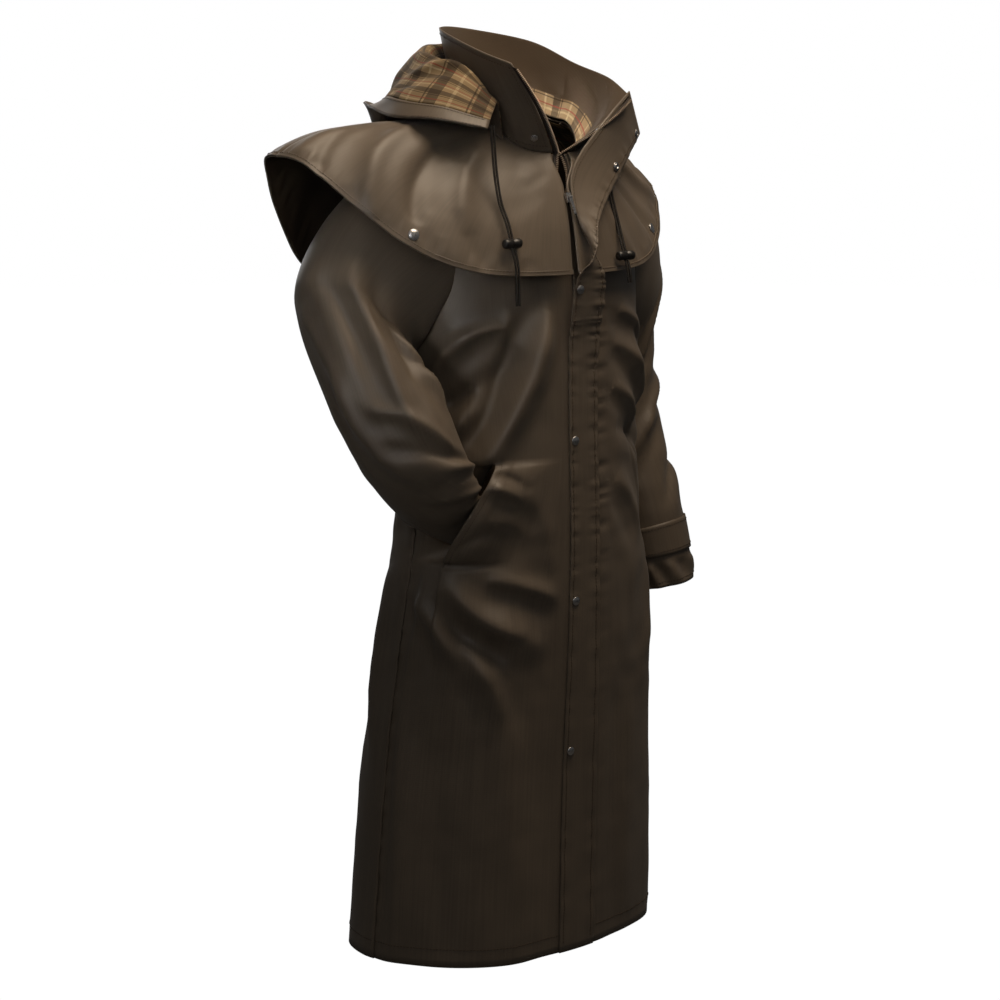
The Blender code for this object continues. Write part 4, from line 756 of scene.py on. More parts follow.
# Folds of the hood: start and end as angle and share, height, half width, bow
HOOD_RADIUS = 0.15
HOOD_REACH = 0.34
HOOD_CREASES = (
    (-118, 0.30, -70, 0.62, 0.0050, 0.014, 0.010),
    (-96, 0.20, -40, 0.48, -0.0045, 0.014, 0.010),
    (-60, 0.58, -20, 0.86, 0.0050, 0.016, 0.008),
    (-30, 0.30, 10, 0.60, 0.0050, 0.016, 0.010),
    (-84, 0.70, -50, 0.94, -0.0035, 0.014, 0.004),
    (20, 0.34, 64, 0.66, -0.0045, 0.015, 0.010),
    (40, 0.60, 86, 0.84, 0.0050, 0.015, 0.010),
    (70, 0.24, 110, 0.50, 0.0040, 0.013, 0.008),
)

# Height of the slack's ripples, by cloth
SLACK_HEIGHT = {"body": 0.0020, "sleeve": 0.0020, "cape": 0.0012, "hood": 0.0014, "flap": 0.0009}

# Puckers beside sewing: distance from one to the next, reach to each side, height
PUCKERS = {
    "side seam": (0.034, 0.014, 0.0011),
    "hem": (0.028, 0.010, 0.0005),
    "front": (0.030, 0.020, 0.0016),
    "cape edge": (0.021, 0.016, 0.0013),
    "flap root": (0.026, 0.013, 0.0017),
    "flap edge": (0.030, 0.009, 0.0008),
}

# Where the relief starts, and over how far: distances down, angles from the centre front, shares along
RELIEF_FROM = (0.205, 0.06)
RELIEF_CLEAR = (11.0, 8.0)
SIDE_PUCKERS_FROM = (0.30, 0.05)
HEM_PUCKERS_UP = 0.024
SKIRT_FROM = (0.72, 0.2)
SKIRT_CALM = 0.45           # share of the slack that is gone on the skirt
SEAM_FLAT = 0.025           # width beside the side seam where creases fade
SIDE_BREAK = 90.1           # angle where the unrolled cloth starts, just past the right side seam
FRONT_PUCKERS_FROM = (0.22, 0.03)
FRONT_PUCKERS_EDGE = 0.004
FRONT_CALM_FROM = (0.5, 0.2)
FRONT_CALM = 0.6            # share of the puckers beside the flap that is gone further down
SLEEVE_FROM = (0.06, 0.14)
SLEEVE_SHUTS = 0.14         # share along over which creases fade towards the pocket
SLEEVE_BREAK = 60.0         # turn where the unrolled sleeve starts, behind its outer line
SLEEVE_CLOSING = 25.0       # turn over which creases fade there
CUFF_CALM = (0.9, 0.85, 0.06)    # share of the creases gone under the strap, its place and half width
CUFF_FROM = (0.905, 0.03)
CUFF_EDGE = (0.96, 0.04)
CUFF_GATHERS = 0.0042
CAPE_CLEAR = (7.0, 9.0)
CAPE_NECK = 0.2             # share of the cape over which its slack starts
CAPE_DENTS = 0.90           # share down the cape of the dents beside its bound edge
CAPE_SEAM_FLAT = 0.02
COLLAR_RADIUS = 0.09        # radius on which the collar's waves are measured
GATHERS = (0.0028, 0.0007, 0.04, 0.28)   # metres to a radian, height, first and last share up
COLLAR_WAVES = (46.0, 0.0016)    # radians to a metre, height
COLLAR_STILL = 14.0         # angle at the collar's ends where it lies flat
HOOD_NECK = 0.2
HOOD_STILL = 10.0
FLAP_LENGTH = 1.3
FLAP_WIDTH = 0.054
FLAP_SHUT = 0.34            # share down the flap where it lies shut
FLAP_SHUTS = 0.06
FLAP_TUCKS = 0.08
FLAP_SEWN = (0.10, 0.88)    # shares of the flap's width where it is sewn
FLAP_CALM = 9 / 17          # share of the root's puckers that is gone further down
FLAP_CALM_FROM = (0.50, 0.15)
FLAP_LAID = (0.0020, 0.09)  # depth and share of the width over which its sewn edge is laid down
FLAP_ROUND = 0.95           # rows of the flap over which its form is rounded off
FLAP_STILL = (0.02, 0.01)   # shares at its top and its hem where it lies flat


def to_linear(code):
    """Linear colour with alpha from an sRGB hex code."""
    values = np.array([int(code[i:i + 2], 16) for i in (1, 3, 5)]) / 255
    linear = np.where(values <= 0.04045, values / 12.92, ((values + 0.055) / 1.055) ** 2.4)
    return (*(float(v) for v in linear), 1.0)


def creases(across, along, table):
    """Height of placed creases: a ridge or trough with a shallow one beside it, fading out at both ends."""
    total = np.zeros(np.broadcast(across, along).shape)
    for x1, y1, x2, y2, height, half, bow in table:
        wide, long = x2 - x1, y2 - y1
        length = np.hypot(wide, long)
        t = ((across - x1) * wide + (along - y1) * long) / length**2
        inside = np.clip(t, 0.0, 1.0)
        gap = ((across - x1) * long - (along - y1) * wide) / length - bow * 4 * inside * (1 - inside)
        past = (t - inside) * length
        fade = np.exp(-(past / (2 * half)) ** 2) * (0.25 + 0.75 * np.sqrt(np.sin(np.pi * inside)))
        width = np.where(gap > 0, half, half * 0.62)
        crest = np.exp(-(gap / width) ** 2) - 0.45 * np.exp(-((gap + 1.9 * half) / half) ** 2)
        total = total + height * fade * crest
    return total


def placed(table, radius, reach):
    """Rows of a crease table with turns and shares as metres across and along the cloth."""
    return [(np.radians(a) * radius, b * reach, np.radians(c) * radius, d * reach, *rest)
            for a, b, c, d, *rest in table]


def slack(x, y, phase):
    """Uneven shallow ripples of slack cloth, about 1 high; x and y in metres."""
    bend = 0.012 * np.sin(31.0 * y + 2.1 * phase) + 0.009 * np.sin(47.0 * x - 1.3 * phase)
    waves = np.sin(58.0 * (x + bend) + 21.0 * y + phase)
    waves = waves + 0.8 * np.sin(37.0 * (y - bend) - 19.0 * x + 1.7 * phase)
    waves = waves + 0.6 * np.sin(83.0 * (x - bend) - 52.0 * y + 2.9 * phase)
    waves = waves + 0.4 * np.sin(121.0 * (y + bend) + 43.0 * x)
    return waves / 2.8


def pucker(kind, gap, along):
    """Height of the puckers beside a line of sewing; gap is the distance from the line."""
    pitch, reach, height = PUCKERS[kind]
    uneven = along / pitch + 0.35 * np.sin(along * 61.0) + 0.25 * np.sin(along * 143.0 + 1.0)
    return height * np.exp(-(gap / reach) ** 2) * np.sin(2 * np.pi * uneven)


def unroll(angle):
    """Angle round the body as metres across the unrolled cloth, with the break at the right side seam."""
    return np.radians(np.mod(angle + SIDE_BREAK, 360.0) - SIDE_BREAK) * FOLD_GIRTH


def body_relief(angle, down):
    """Creases, slack and seam puckers of the body, on top of its largest folds."""
    across = unroll(angle)
    table = [(unroll(np.float64(a)), b, unroll(np.float64(c)), d, *rest)
             for a, b, c, d, *rest in BODY_CREASES]
    aside = from_front(angle)
    fade = fade_in(down, *RELIEF_FROM) * fade_in(aside, *RELIEF_CLEAR)
    side = np.abs(aside - 90.0) * np.radians(1) * FOLD_GIRTH
    sewn = pucker("side seam", side, down) * fade_in(down, *SIDE_PUCKERS_FROM)
    hem = pucker("hem", HEM_DOWN - HEM_PUCKERS_UP - down, across)
    skirt = 1.0 - SKIRT_CALM * fade_in(down, *SKIRT_FROM)
    folds = creases(across, down, table) + slack(across, down, 0.4) * SLACK_HEIGHT["body"] * skirt
    return (folds * ease(side / SEAM_FLAT) + sewn + hem) * fade


def sleeve_relief(turn, along, table, phase):
    """Creases and slack of a sleeve, fading at the armhole."""
    turn = np.mod(turn + SLEEVE_BREAK, 360.0) - SLEEVE_BREAK
    across, reach = np.radians(turn) * SLEEVE_RADIUS, along * SLEEVE_REACH
    rows = placed(table, SLEEVE_RADIUS, SLEEVE_REACH)
    closing = fade_in(turn, -SLEEVE_BREAK, SLEEVE_CLOSING)
    closing = closing * ease((360.0 - SLEEVE_BREAK - turn) / SLEEVE_CLOSING)
    ripple = slack(across, reach, phase) * SLACK_HEIGHT["sleeve"]
    return (creases(across, reach, rows) + ripple) * fade_in(along, *SLEEVE_FROM) * closing


def cape_relief(angle, share):
    """Folds from the shoulders, upright waves of the back and small dents beside the bound edge."""
    turn = np.mod(angle + SIDE_BREAK, 360.0) - SIDE_BREAK
    centre = from_front(angle)
    across, along = np.radians(turn) * CAPE_RADIUS, share * CAPE_REACH
    rows = placed(CAPE_CREASES, CAPE_RADIUS, CAPE_REACH)
    ripple = slack(across, along, 1.9) * SLACK_HEIGHT["cape"] * ease(share / CAPE_NECK)
    total = creases(across, along, rows) + ripple
    for at, head, height, half in CAPE_WAVES:
        gap = np.radians(turn - at) * CAPE_RADIUS
        total = total + height * np.exp(-(gap / half) ** 2) * ease((share - head) / (1.0 - head))
    dents = pucker("cape edge", (share - CAPE_DENTS) * CAPE_REACH, across)
    seam = np.radians(np.abs(centre - 90.0)) * CAPE_RADIUS
    return (total + dents) * fade_in(centre, *CAPE_CLEAR) * ease(seam / CAPE_SEAM_FLAT)


def collar_relief(angle, share):
    """Gathers above the neck seam and slight waves of the stand collar."""
    across = np.radians(angle) * COLLAR_RADIUS
    pitch, height, first, last = GATHERS
    foot = ease(1.0 - share / last) * ease(share / first)
    gathers = height * np.sin(across / pitch + 1.6 * np.sin(across * 60)) * foot
    waves = np.sin(across * COLLAR_WAVES[0] + 3.0 * share) * COLLAR_WAVES[1] * np.sin(np.pi * share)
    return (gathers + waves) * ease((COLLAR_END - np.abs(angle)) / COLLAR_STILL)


def hood_relief(angle, share):
    """Folds and slack of the hood that lies folded down."""
    across, along = np.radians(angle) * HOOD_RADIUS, share * HOOD_REACH
    rows = placed(HOOD_CREASES, HOOD_RADIUS, HOOD_REACH)
    body = creases(across, along, rows) + slack(across, along, 3.3) * SLACK_HEIGHT["hood"]
    return body * ease(share / HOOD_NECK) * ease((HOOD_ENDS - np.abs(angle)) / HOOD_STILL)


# Cloth pieces by name: place function, wall and the sign of its outer side
surfaces = {}


def mesh_object(name, bm, *materials):
    """Object from a bmesh, at the origin, with its materials."""
    mesh = bpy.data.meshes.new(name)
    bm.to_mesh(mesh)
    bm.free()
    for material in materials:
        mesh.materials.append(material)
    obj = bpy.data.objects.new(name, mesh)
    bpy.context.scene.collection.objects.link(obj)
    return obj


def dress(name, columns, rows, place, materials, wall, cut, inside=None, slit=None, closed=False):
    """Cloth shell from a grid placed by place(u, v), outer face first, with its wall on the inner side.

    cut is the cloth's width and length in metres, for the weave's own map. slit(i, j) is true on the
    vertices of a cut.
    """
    bm = bmesh.new()
    bmesh.ops.create_grid(bm, x_segments=columns, y_segments=rows, size=0.5)
    flat = bm.loops.layers.uv.new("Cloth")
    for face in bm.faces:
        for loop in face.loops:
            co = loop.vert.co
            loop[flat].uv = ((co.x + 0.5) * cut[0], (0.5 - co.y) * cut[1])
    if slit:
        edges = [edge for edge in bm.edges if abs(edge.verts[0].co.x - edge.verts[1].co.x) < 1e-6 and all(
            slit(round((v.co.x + 0.5) * columns), round((0.5 - v.co.y) * rows)) for v in edge.verts)]
        bmesh.ops.split_edges(bm, edges=edges)
    verts = list(bm.verts)
    grid = np.array([v.co for v in verts])
    u, v = grid[:, 0] + 0.5, 0.5 - grid[:, 1]
    if slit:
        middles = np.array([np.mean([face.calc_center_median().x for face in vert.link_faces])
                            for vert in verts])
        points = place(u, v, middles + 0.5 - u)
    else:
        points = place(u, v)
    for vert, point in zip(verts, points.tolist()):
        vert.co = point
    bm.normal_update()
    core = inside(u, v) if inside else points * np.array([0.0, 0.0, 1.0])
    turned = np.sum(np.array([vert.normal for vert in verts]) * (core - points)) > 0
    if turned:
        bmesh.ops.reverse_faces(bm, faces=bm.faces)
    if closed:
        bmesh.ops.remove_doubles(bm, verts=bm.verts, dist=1e-6)
    for face in bm.faces:
        face.smooth = True
    obj = mesh_object(name, bm, *materials)
    shell = obj.modifiers.new("Wall", "SOLIDIFY")
    shell.thickness = wall
    shell.offset = -1.0
    shell.use_even_offset = False
    shell.material_offset = len(materials) - 1
    shell.material_offset_rim = 0
    surfaces[name] = place, wall, 1.0 if turned else -1.0
    return obj


def add_node(tree, kind, inputs=None, **settings):
    """One shader node with its settings; inputs are values, or sockets to link."""
    node = tree.nodes.new(kind)
    for key, value in settings.items():
        setattr(node, key, value)
    for key, value in (inputs or {}).items():
        if isinstance(value, bpy.types.NodeSocket):
            tree.links.new(value, node.inputs[key])
        else:
            node.inputs[key].default_value = value
    return node


def start_material(name, **values):
    """New material with its tree and Principled shader, and constant values on the shader's own sockets."""
    material = bpy.data.materials.get(name)
    if material:
        return material, None, None
    material = bpy.data.materials.new(name)
    material.use_nodes = True
    tree = material.node_tree
    shader = tree.nodes["Principled BSDF"]
    for key, value in values.items():
        shader.inputs[key.replace("_", " ")].default_value = value
    return material, tree, shader


def mix_colour(tree, factor, first, second):
    """Colour between two colours or sockets by a factor."""
    node = add_node(tree, "ShaderNodeMix", {0: factor, 6: first, 7: second}, data_type="RGBA")
    return node.outputs[2]


def result(tree, operation, *values):
    """Socket with one sum on values or sockets."""
    return add_node(tree, "ShaderNodeMath", dict(enumerate(values)), operation=operation).outputs[0]


def spread_over(tree, value, *limits):
    """Socket with a value drawn from one range to another, which is 0 to 1 unless it is given."""
    return add_node(tree, "ShaderNodeMapRange", dict(enumerate((value, *limits)))).outputs[0]


def cloth_map(tree):
    """Socket with the cloth's own flat map, in metres."""
    return add_node(tree, "ShaderNodeUVMap", uv_map="Cloth").outputs["UV"]


def own_place(tree):
    """Socket with the place on the object."""
    return add_node(tree, "ShaderNodeTexCoord").outputs["Object"]


def noise(tree, vector, scale, detail, **inputs):
    """Socket with uneven noise."""
    inputs = {"Vector": vector, "Scale": scale, "Detail": detail, **inputs}
    return add_node(tree, "ShaderNodeTexNoise", inputs).outputs[0]


def bands(tree, vector, pitch, direction, **inputs):
    """Socket with bands at a pitch in metres."""
    inputs = {"Vector": vector, "Scale": BAND_SCALE / pitch, **inputs}
    return add_node(tree, "ShaderNodeTexWave", inputs, bands_direction=direction).outputs["Fac"]


def finish(tree, shader, **sockets):
    """Links sockets to the shader's own inputs."""
    for key, socket in sockets.items():
        tree.links.new(socket, shader.inputs[key.replace("_", " ")])


def bump(tree, height, strength, distance):
    """Socket with the direction of a surface that has a fine relief."""
    inputs = {"Height": height, "Strength": strength, "Distance": distance}
    return add_node(tree, "ShaderNodeBump", inputs).outputs[0]


def darker(colour, share):
    """A share of a colour, with full alpha."""
    return (*(share * c for c in colour[:3]), 1.0)


def coat_cloth():
    """Proofed cotton twill: a soft satin sheen, faint lengthwise streaks in the yarn and slight mottling."""
    colours = bpy.context.scene.coat_colours
    material, tree, shader = start_material("proofed cotton", Sheen_Weight=0.05, Sheen_Roughness=0.5,
                                            Specular_IOR_Level=0.36)
    if not tree:
        return material
    flat = cloth_map(tree)
    mottle = noise(tree, own_place(tree), 7.0, 5.0, Roughness=0.55)
    stretched = add_node(tree, "ShaderNodeMapping", {"Vector": flat, "Scale": (420.0, 9.0, 1.0)}).outputs[0]
    streak = noise(tree, stretched, 1.0, 3.0)
    both = result(tree, "ADD", mottle, streak)
    colour = mix_colour(tree, spread_over(tree, both, 0.6, 1.4), tuple(colours.cloth_dark),
                        tuple(colours.cloth_light))
    rough = spread_over(tree, both, 0.7, 1.3, 0.40, 0.51)
    # yarns are about 0.4 mm apart; drawn at 1.5 mm so that they show
    warp, weft = (bands(tree, flat, 0.0015, direction, Distortion=0.6) for direction in ("X", "Y"))
    height = result(tree, "ADD", result(tree, "MAXIMUM", warp, weft), streak)
    finish(tree, shader, Base_Color=colour, Roughness=rough, Normal=bump(tree, height, 0.16, 0.0003))
    return material


def plain_lining():
    """Plain woven cotton inside the coat: matt, slightly uneven."""
    inner = bpy.context.scene.coat_colours.inner_cloth
    material, tree, shader = start_material("brown cotton lining", Roughness=0.85, Specular_IOR_Level=0.2)
    if not tree:
        return material
    mottle = noise(tree, own_place(tree), 14.0, 4.0)
    weave = bands(tree, cloth_map(tree), 0.0018, "DIAGONAL")
    finish(tree, shader, Base_Color=mix_colour(tree, mottle, darker(inner, 0.72), tuple(inner)),
           Normal=bump(tree, weave, 0.2, 0.0003))
    return material


def check_lining(name="woven check lining", plain_to=None):
    """Brushed cotton in a plain check: broad dark bars both ways on tan, a fine red line, pale lines between.

    plain_to is the distance from the cloth's first edge down to which it is plain lining instead.
    """
    colours = bpy.context.scene.coat_colours
    material, tree, shader = start_material(name, Roughness=0.88, Specular_IOR_Level=0.2, Sheen_Weight=0.1)
    if not tree:
        return material
    flat = cloth_map(tree)
    split = add_node(tree, "ShaderNodeSeparateXYZ", {0: flat})
    phases = [result(tree, "WRAP", split.outputs[axis], CHECK_REPEAT, 0.0) for axis in (0, 1)]
    colour = tuple(colours.check_ground)
    for centre, half, paint, strength, axes in CHECK_LINES:
        for axis in axes:
            line = result(tree, "COMPARE", phases[axis], centre, half)
            colour = mix_colour(tree, result(tree, "MULTIPLY", line, strength), colour,
                                tuple(getattr(colours, paint)))
    worn = spread_over(tree, noise(tree, own_place(tree), 30.0, 4.0), 0.3, 0.7, 0.0, 0.22)
    colour = mix_colour(tree, worn, colour, tuple(colours.check_dark))
    if plain_to:
        plain = result(tree, "LESS_THAN", split.outputs[1], plain_to)
        colour = mix_colour(tree, plain, colour, tuple(colours.inner_cloth))
    weave = bands(tree, flat, 0.0016, "DIAGONAL")
    finish(tree, shader, Base_Color=colour, Normal=bump(tree, weave, 0.3, 0.0004))
    return material


def noise_finish(name, setting, spread, scale, bump_height, **values):
    """Material of one colour setting with fine variation of tone, roughness and height."""
    colour = getattr(bpy.context.scene.coat_colours, setting)
    material, tree, shader = start_material(name, **values)
    if not tree:
        return material
    grain = noise(tree, own_place(tree), scale, 4.0)
    base = shader.inputs["Roughness"].default_value
    finish(tree, shader, Base_Color=mix_colour(tree, grain, darker(colour, spread), tuple(colour)),
           Roughness=spread_over(tree, grain, 0.3, 0.7, base - 0.06, base + 0.08),
           Normal=bump(tree, grain, 0.3, bump_height))
    return material


def nickel_plate():
    """Nickel-plated steel, tumbled: bright, with faint cloudy wear."""
    return noise_finish("nickel plate", "nickel", 0.75, 900.0, 0.00004,
                        Metallic=1.0, Roughness=0.28)


def dark_zip_metal():
    """Oxidised zinc of the zip's teeth: dull grey brown, slightly cloudy."""
    return noise_finish("oxidised zip metal", "teeth", 0.6, 700.0, 0.00005,
                        Metallic=0.35, Roughness=0.38)


def zip_tape_cloth():
    """Herringbone polyester tape: matt and dark."""
    return noise_finish("woven zip tape", "zip_tape", 0.6, 1200.0, 0.0002, Roughness=0.8)


def sewing_thread():
    """Twisted polyester thread: a shade lighter than the cloth, with a slight gloss."""
    return noise_finish("polyester thread", "thread", 0.7, 900.0, 0.0001, Roughness=0.55)


def toggle_plastic():
    """Moulded nylon of the toggles: black, soft gloss."""
    return noise_finish("moulded nylon", "cord", 0.7, 500.0, 0.00006, Roughness=0.38)


def braided_cord():
    """Braided polyester cord: black, matt, with a slanted plait about 3 mm long; the raised strands of the
    plait are painted lighter, a painted highlight on their tops.
    """
    colour = tuple(bpy.context.scene.coat_colours.cord)
    material, tree, shader = start_material("braided cord", Roughness=0.72, Specular_IOR_Level=0.3)
    if not tree:
        return material
    place = own_place(tree)
    turned = [add_node(tree, "ShaderNodeMapping", {"Vector": place, "Rotation": (0.0, tilt, 0.4)}).outputs[0]
              for tilt in (-0.9, 0.9)]
    plait = result(tree, "MAXIMUM", *(bands(tree, way, 0.0022, "Z") for way in turned))
    # painted highlight: the raised strands of the plait are coloured up to 2.6 times lighter than the cord
    light = (*(min(1.0, 2.6 * c) for c in colour[:3]), 1.0)
    finish(tree, shader, Base_Color=mix_colour(tree, plait, colour, light),
           Normal=bump(tree, plait, 0.6, 0.0004))
    return material


def body_unit(form, a, s):
    """Direction out of a form that takes a lift, for each point."""
    return form(a, s, 1.0) - form(a, s)


def front_surface(sign, pocket):
    """Place function of a front, with its creases, pocket welt and the puckers beside the storm flap."""
    level = from_rows(panel_rows())
    split = POCKET_SPLIT
    sewn = np.degrees(np.arcsin(FLAP_ROOT_X / FLAP_GIRTH))

    def place(u, v, side=0.0):
        down = level(v)
        near = sign * front_edge_angle(down, sign)
        hole = armhole_angle(down)
        below = ease(1.0 - hole / ARMHOLE_ENDS)
        far = 90.0 - hole + SEAM_LAP * below
        line = np.minimum(pocket_angle(pocket, down), near + (far - near) * POCKET_LIMIT)
        inner = near + (line - near) * u / split
        outer = line + (far - line) * (u - split) / (1 - split)
        on_line = np.abs(u - split) < 1e-6
        apart = SLIT_GAP if pocket is POCKET_RIGHT else SEAM_SHUT
        inner = np.where(on_line & (side < -1e-6), inner - apart, inner)
        outer = np.where(on_line & (side > 1e-6), outer + apart, outer)
        towards_front = (u < split - 1e-6) | (on_line & (side < 0))
        angle = np.where(towards_front, inner, outer)
        along = np.clip((down - pocket[1]) / (pocket[3] - pocket[1]), 0.0, 1.0)
        gape = np.sin(np.pi * along) ** POCKET_ROUND
        hand = np.where(down > pocket[3], POCKET_HAND * ease(1.0 - (down - pocket[3]) / POCKET_BELOW), 0.0)
        bulge = pocket[4] * np.maximum(gape, hand) * ease(1.0 - (line - angle) / POCKET_REACH_OUT)
        hollow = -pocket[5] * gape * ease(1.0 - (angle - line) / POCKET_REACH_IN)
        lift = np.where(towards_front, bulge, hollow)
        beside = np.radians(line - angle) * FOLD_GIRTH
        in_slit = fade_in(down, pocket[1] - SLIT_END, SLIT_END)
        in_slit = in_slit * ease((pocket[3] + SLIT_END - down) / SLIT_END)
        groove = WELT_GROOVE[0] * np.exp(-((beside - WELT_LINE) / WELT_GROOVE[1]) ** 2)
        welt = WELT_HEIGHT * ease((WELT_WIDTH - beside) / WELT_EDGE) - groove
        lift = lift + np.where(towards_front, welt * in_slit, 0.0)
        calm = 1.0 - LIP_CALM[0] * in_slit * np.exp(-(beside / LIP_CALM[1]) ** 2)
        relief = body_relief(sign * angle, down) * calm
        lift = lift - LAP_DEPTH * fade_in(angle, 90.0 - hole - LAP_TURN, LAP_TURN) * below
        if sign > 0:
            gap = np.radians(angle - sewn - 1.2) * FOLD_GIRTH
            strength = fade_in(down, *FRONT_PUCKERS_FROM)
            strength = strength * (1.0 - FRONT_CALM * fade_in(down, *FRONT_CALM_FROM))
            relief = relief + pucker("front", gap, down) * strength * ease(gap / FRONT_PUCKERS_EDGE + 0.5)
        return torso(sign * angle, down, lift + relief)

    return place


def back_surface(u, v):
    """Place function of the back."""
    down = from_rows(panel_rows())(v)
    edge = 90.0 + SEAM_SHUT + armhole_angle(down)
    angle = edge + (360.0 - 2 * edge) * u
    return torso(angle, down, body_relief(angle, down))


def sleeve_surface(stations, sign, table, phase, shut_from):
    """Place function of a whole sleeve, its seam on the inner line; creases fade towards the pocket."""
    def place(u, v):
        turn = 180.0 + 360.0 * u
        along = v ** SLEEVE_SPACING
        points = sleeve_form(stations, sign, turn, along)
        out = to_unit(points - sleeve_middle(stations, sign, along))
        relief = sleeve_relief(turn, along, table, phase) * ease((shut_from - along) / SLEEVE_SHUTS)
        if sign > 0:
            calm = 1.0 - CUFF_CALM[0] * np.exp(-((along - CUFF_CALM[1]) / CUFF_CALM[2]) ** 2)
            bend = 2.2 * np.sin(np.radians(turn) * 2 + 1.0)
            gathers = np.sin(np.radians(turn) * 9 + 26 * along + bend) * CUFF_GATHERS
            gathers = gathers * fade_in(along, *CUFF_FROM) * (1.0 - 0.5 * fade_in(along, *CUFF_EDGE))
            relief = relief * calm + gathers
        return points + out * relief[..., None]

    return place


def cape_surface(first, last, shares=(0.0, 1.0), lift=0.0):
    """Place function of a cape piece between two angles, each a number or a function of the share down."""
    def place(u, v):
        share = shares[0] + (shares[1] - shares[0]) * v
        a = first(share) if callable(first) else first
        b = last(share) if callable(last) else last
        angle = a + (b - a) * u
        unit = body_unit(cape_form, angle, share)
        return cape_form(angle, share) + unit * (cape_relief(angle, share) + lift)[..., None]

    return place


def collar_surface(u, v):
    """Place function of the stand collar."""
    angle, share = COLLAR_END * (2 * u - 1), 1.0 - v
    out = normals(lambda a, s: collar_form(a * 180.0, s), angle / 180.0, share)
    return collar_form(angle, share) + out * collar_relief(angle, share)[..., None]


def hood_surface(first, last, lift):
    """Place function of a layer of the hood between two shares of its length."""
    def place(u, v):
        angle, share = HOOD_ENDS * (2 * u - 1), first + (last - first) * v
        unit = body_unit(hood_form, angle, share)
        return hood_form(angle, share) + unit * (hood_relief(angle, share) + lift)[..., None]

    return place


def flap_surface(u, v):
    """Place function of the storm flap: its rows rounded off, its sewn edge laid down and puckered."""
    reach = FLAP_ROUND / flap_rows() * ease(np.minimum(v, 1.0 - v) / 0.05)
    u = u - FLAP_UNDER * (1.0 - u) * ease((FLAP_SHUT - v) / FLAP_TUCKS)

    def form(u, v):
        return sum(flap_form(u, np.clip(v + k * reach, 0.0, 1.0)) for k in (-1.0, -0.5, 0.0, 0.5, 1.0)) / 5

    across, down = u * FLAP_WIDTH, v * FLAP_LENGTH
    shut = fade_in(v, FLAP_SHUT, FLAP_SHUTS)
    root, edge = (pucker(f"flap {name}", (u - at) * FLAP_WIDTH, down)
                  for name, at in zip(("root", "edge"), FLAP_SEWN))
    root = root * (1.0 - FLAP_CALM * fade_in(v, *FLAP_CALM_FROM)) * shut
    laid = FLAP_LAID[0] * ease(1.0 - u / FLAP_LAID[1]) * shut
    relief = root + edge + slack(across, down, 5.1) * SLACK_HEIGHT["flap"] - laid
    low = np.minimum(v / FLAP_STILL[0], (1.0 - v) / FLAP_STILL[1])
    return form(u, v) - normals(form, u, v, CLOTH_PROBE) * (relief * ease(low))[..., None]


def strap_surface(u, v):
    """Place function of the cuff strap."""
    along = STRAP_ALONG[0] + (STRAP_ALONG[1] - STRAP_ALONG[0]) * v
    turn = STRAP_TURN[0] + (STRAP_TURN[1] - STRAP_TURN[0]) * u
    on_sleeve = sleeve_form(SLEEVE_LEFT, 1, turn, along)
    out = to_unit(on_sleeve - sleeve_middle(SLEEVE_LEFT, 1, along))
    lift = THIN_CLOTH + STRAP_STEP + STRAP_END_LIFT * ease((u - STRAP_FREE) / (1.0 - STRAP_FREE))
    return on_sleeve + out * lift[..., None]


def tape_surface(sign):
    """Place function of one zip tape along its open edge."""
    def place(u, v):
        edge, way = zip_edge(sign, ZIP_START + (ZIP_END - ZIP_START) * (1.0 - v))
        width = ZIP_TAPE * ease((1.0 - v) / ZIP_NARROWS + ZIP_LEAST)
        return edge + way * (ZIP_STEP + width * u)[..., None]

    return place


def settle(obj, nodes):
    """A finished piece rides on the coat and stands for its nodes, which it hides."""
    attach(obj, COAT)
    if nodes:
        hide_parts(*nodes)


def repeat_unit(unit, count):
    """Bmesh with `count` copies of a small bmesh in turn; the round trip puts its parts in order."""
    mesh = bpy.data.meshes.new("unit")
    unit.to_mesh(mesh)
    unit.clear()
    unit.from_mesh(mesh)
    bpy.data.meshes.remove(mesh)
    verts, edges, faces = len(unit.verts), len(unit.edges), len(unit.faces)
    have = 1
    while have < count:
        more = min(have, count - have)
        for seq in (unit.verts, unit.edges, unit.faces):
            seq.ensure_lookup_table()
        geometry = unit.verts[:more * verts] + unit.edges[:more * edges] + unit.faces[:more * faces]
        bmesh.ops.duplicate(unit, geom=geometry)
        have += more
    return unit


def place_units(name, unit, centres, frames, material):
    """Object with one copy of a small bmesh at each centre, turned by each frame's three directions."""
    size = len(unit.verts)
    repeat_unit(unit, len(centres))
    unit.verts.ensure_lookup_table()
    local = np.array([v.co for v in unit.verts[:size]])
    spots = centres[:, None, :] + np.einsum("vk,nkx->nvx", local, frames)
    obj = mesh_object(name, unit, material)
    obj.data.vertices.foreach_set("co", spots.reshape(-1))
    obj.data.update()
    assert len(obj.data.vertices) == size * len(centres)
    return obj


def along_line(points, out, pitch):
    """Even steps along a line of points: centres and (along, side, out) directions."""
    lengths = np.concatenate([[0.0], np.cumsum(np.linalg.norm(np.diff(points, axis=0), axis=1))])
    at = np.arange(pitch / 2, lengths[-1], pitch)

    def read(line, places):
        return np.stack([np.interp(places, lengths, line[:, k]) for k in range(3)], -1)

    way = to_unit(read(points, at + pitch / 4) - read(points, at - pitch / 4))
    side = to_unit(np.cross(read(out, at), way))
    return read(points, at), np.stack([way, side, np.cross(way, side)], 1)


def sewn_line(name, u, v, lift, far=False):
    """Points just off a cloth piece along a line of its (u, v), on its outer or far face, and the way out."""
    place, wall, sign = surfaces[name]
    u, v = np.broadcast_arrays(np.asarray(u, float), np.asarray(v, float))
    out = normals(place, u, v, CLOTH_PROBE) * (-sign if far else sign)
    return place(u, v) + out * (lift + (wall if far else 0.0)), out


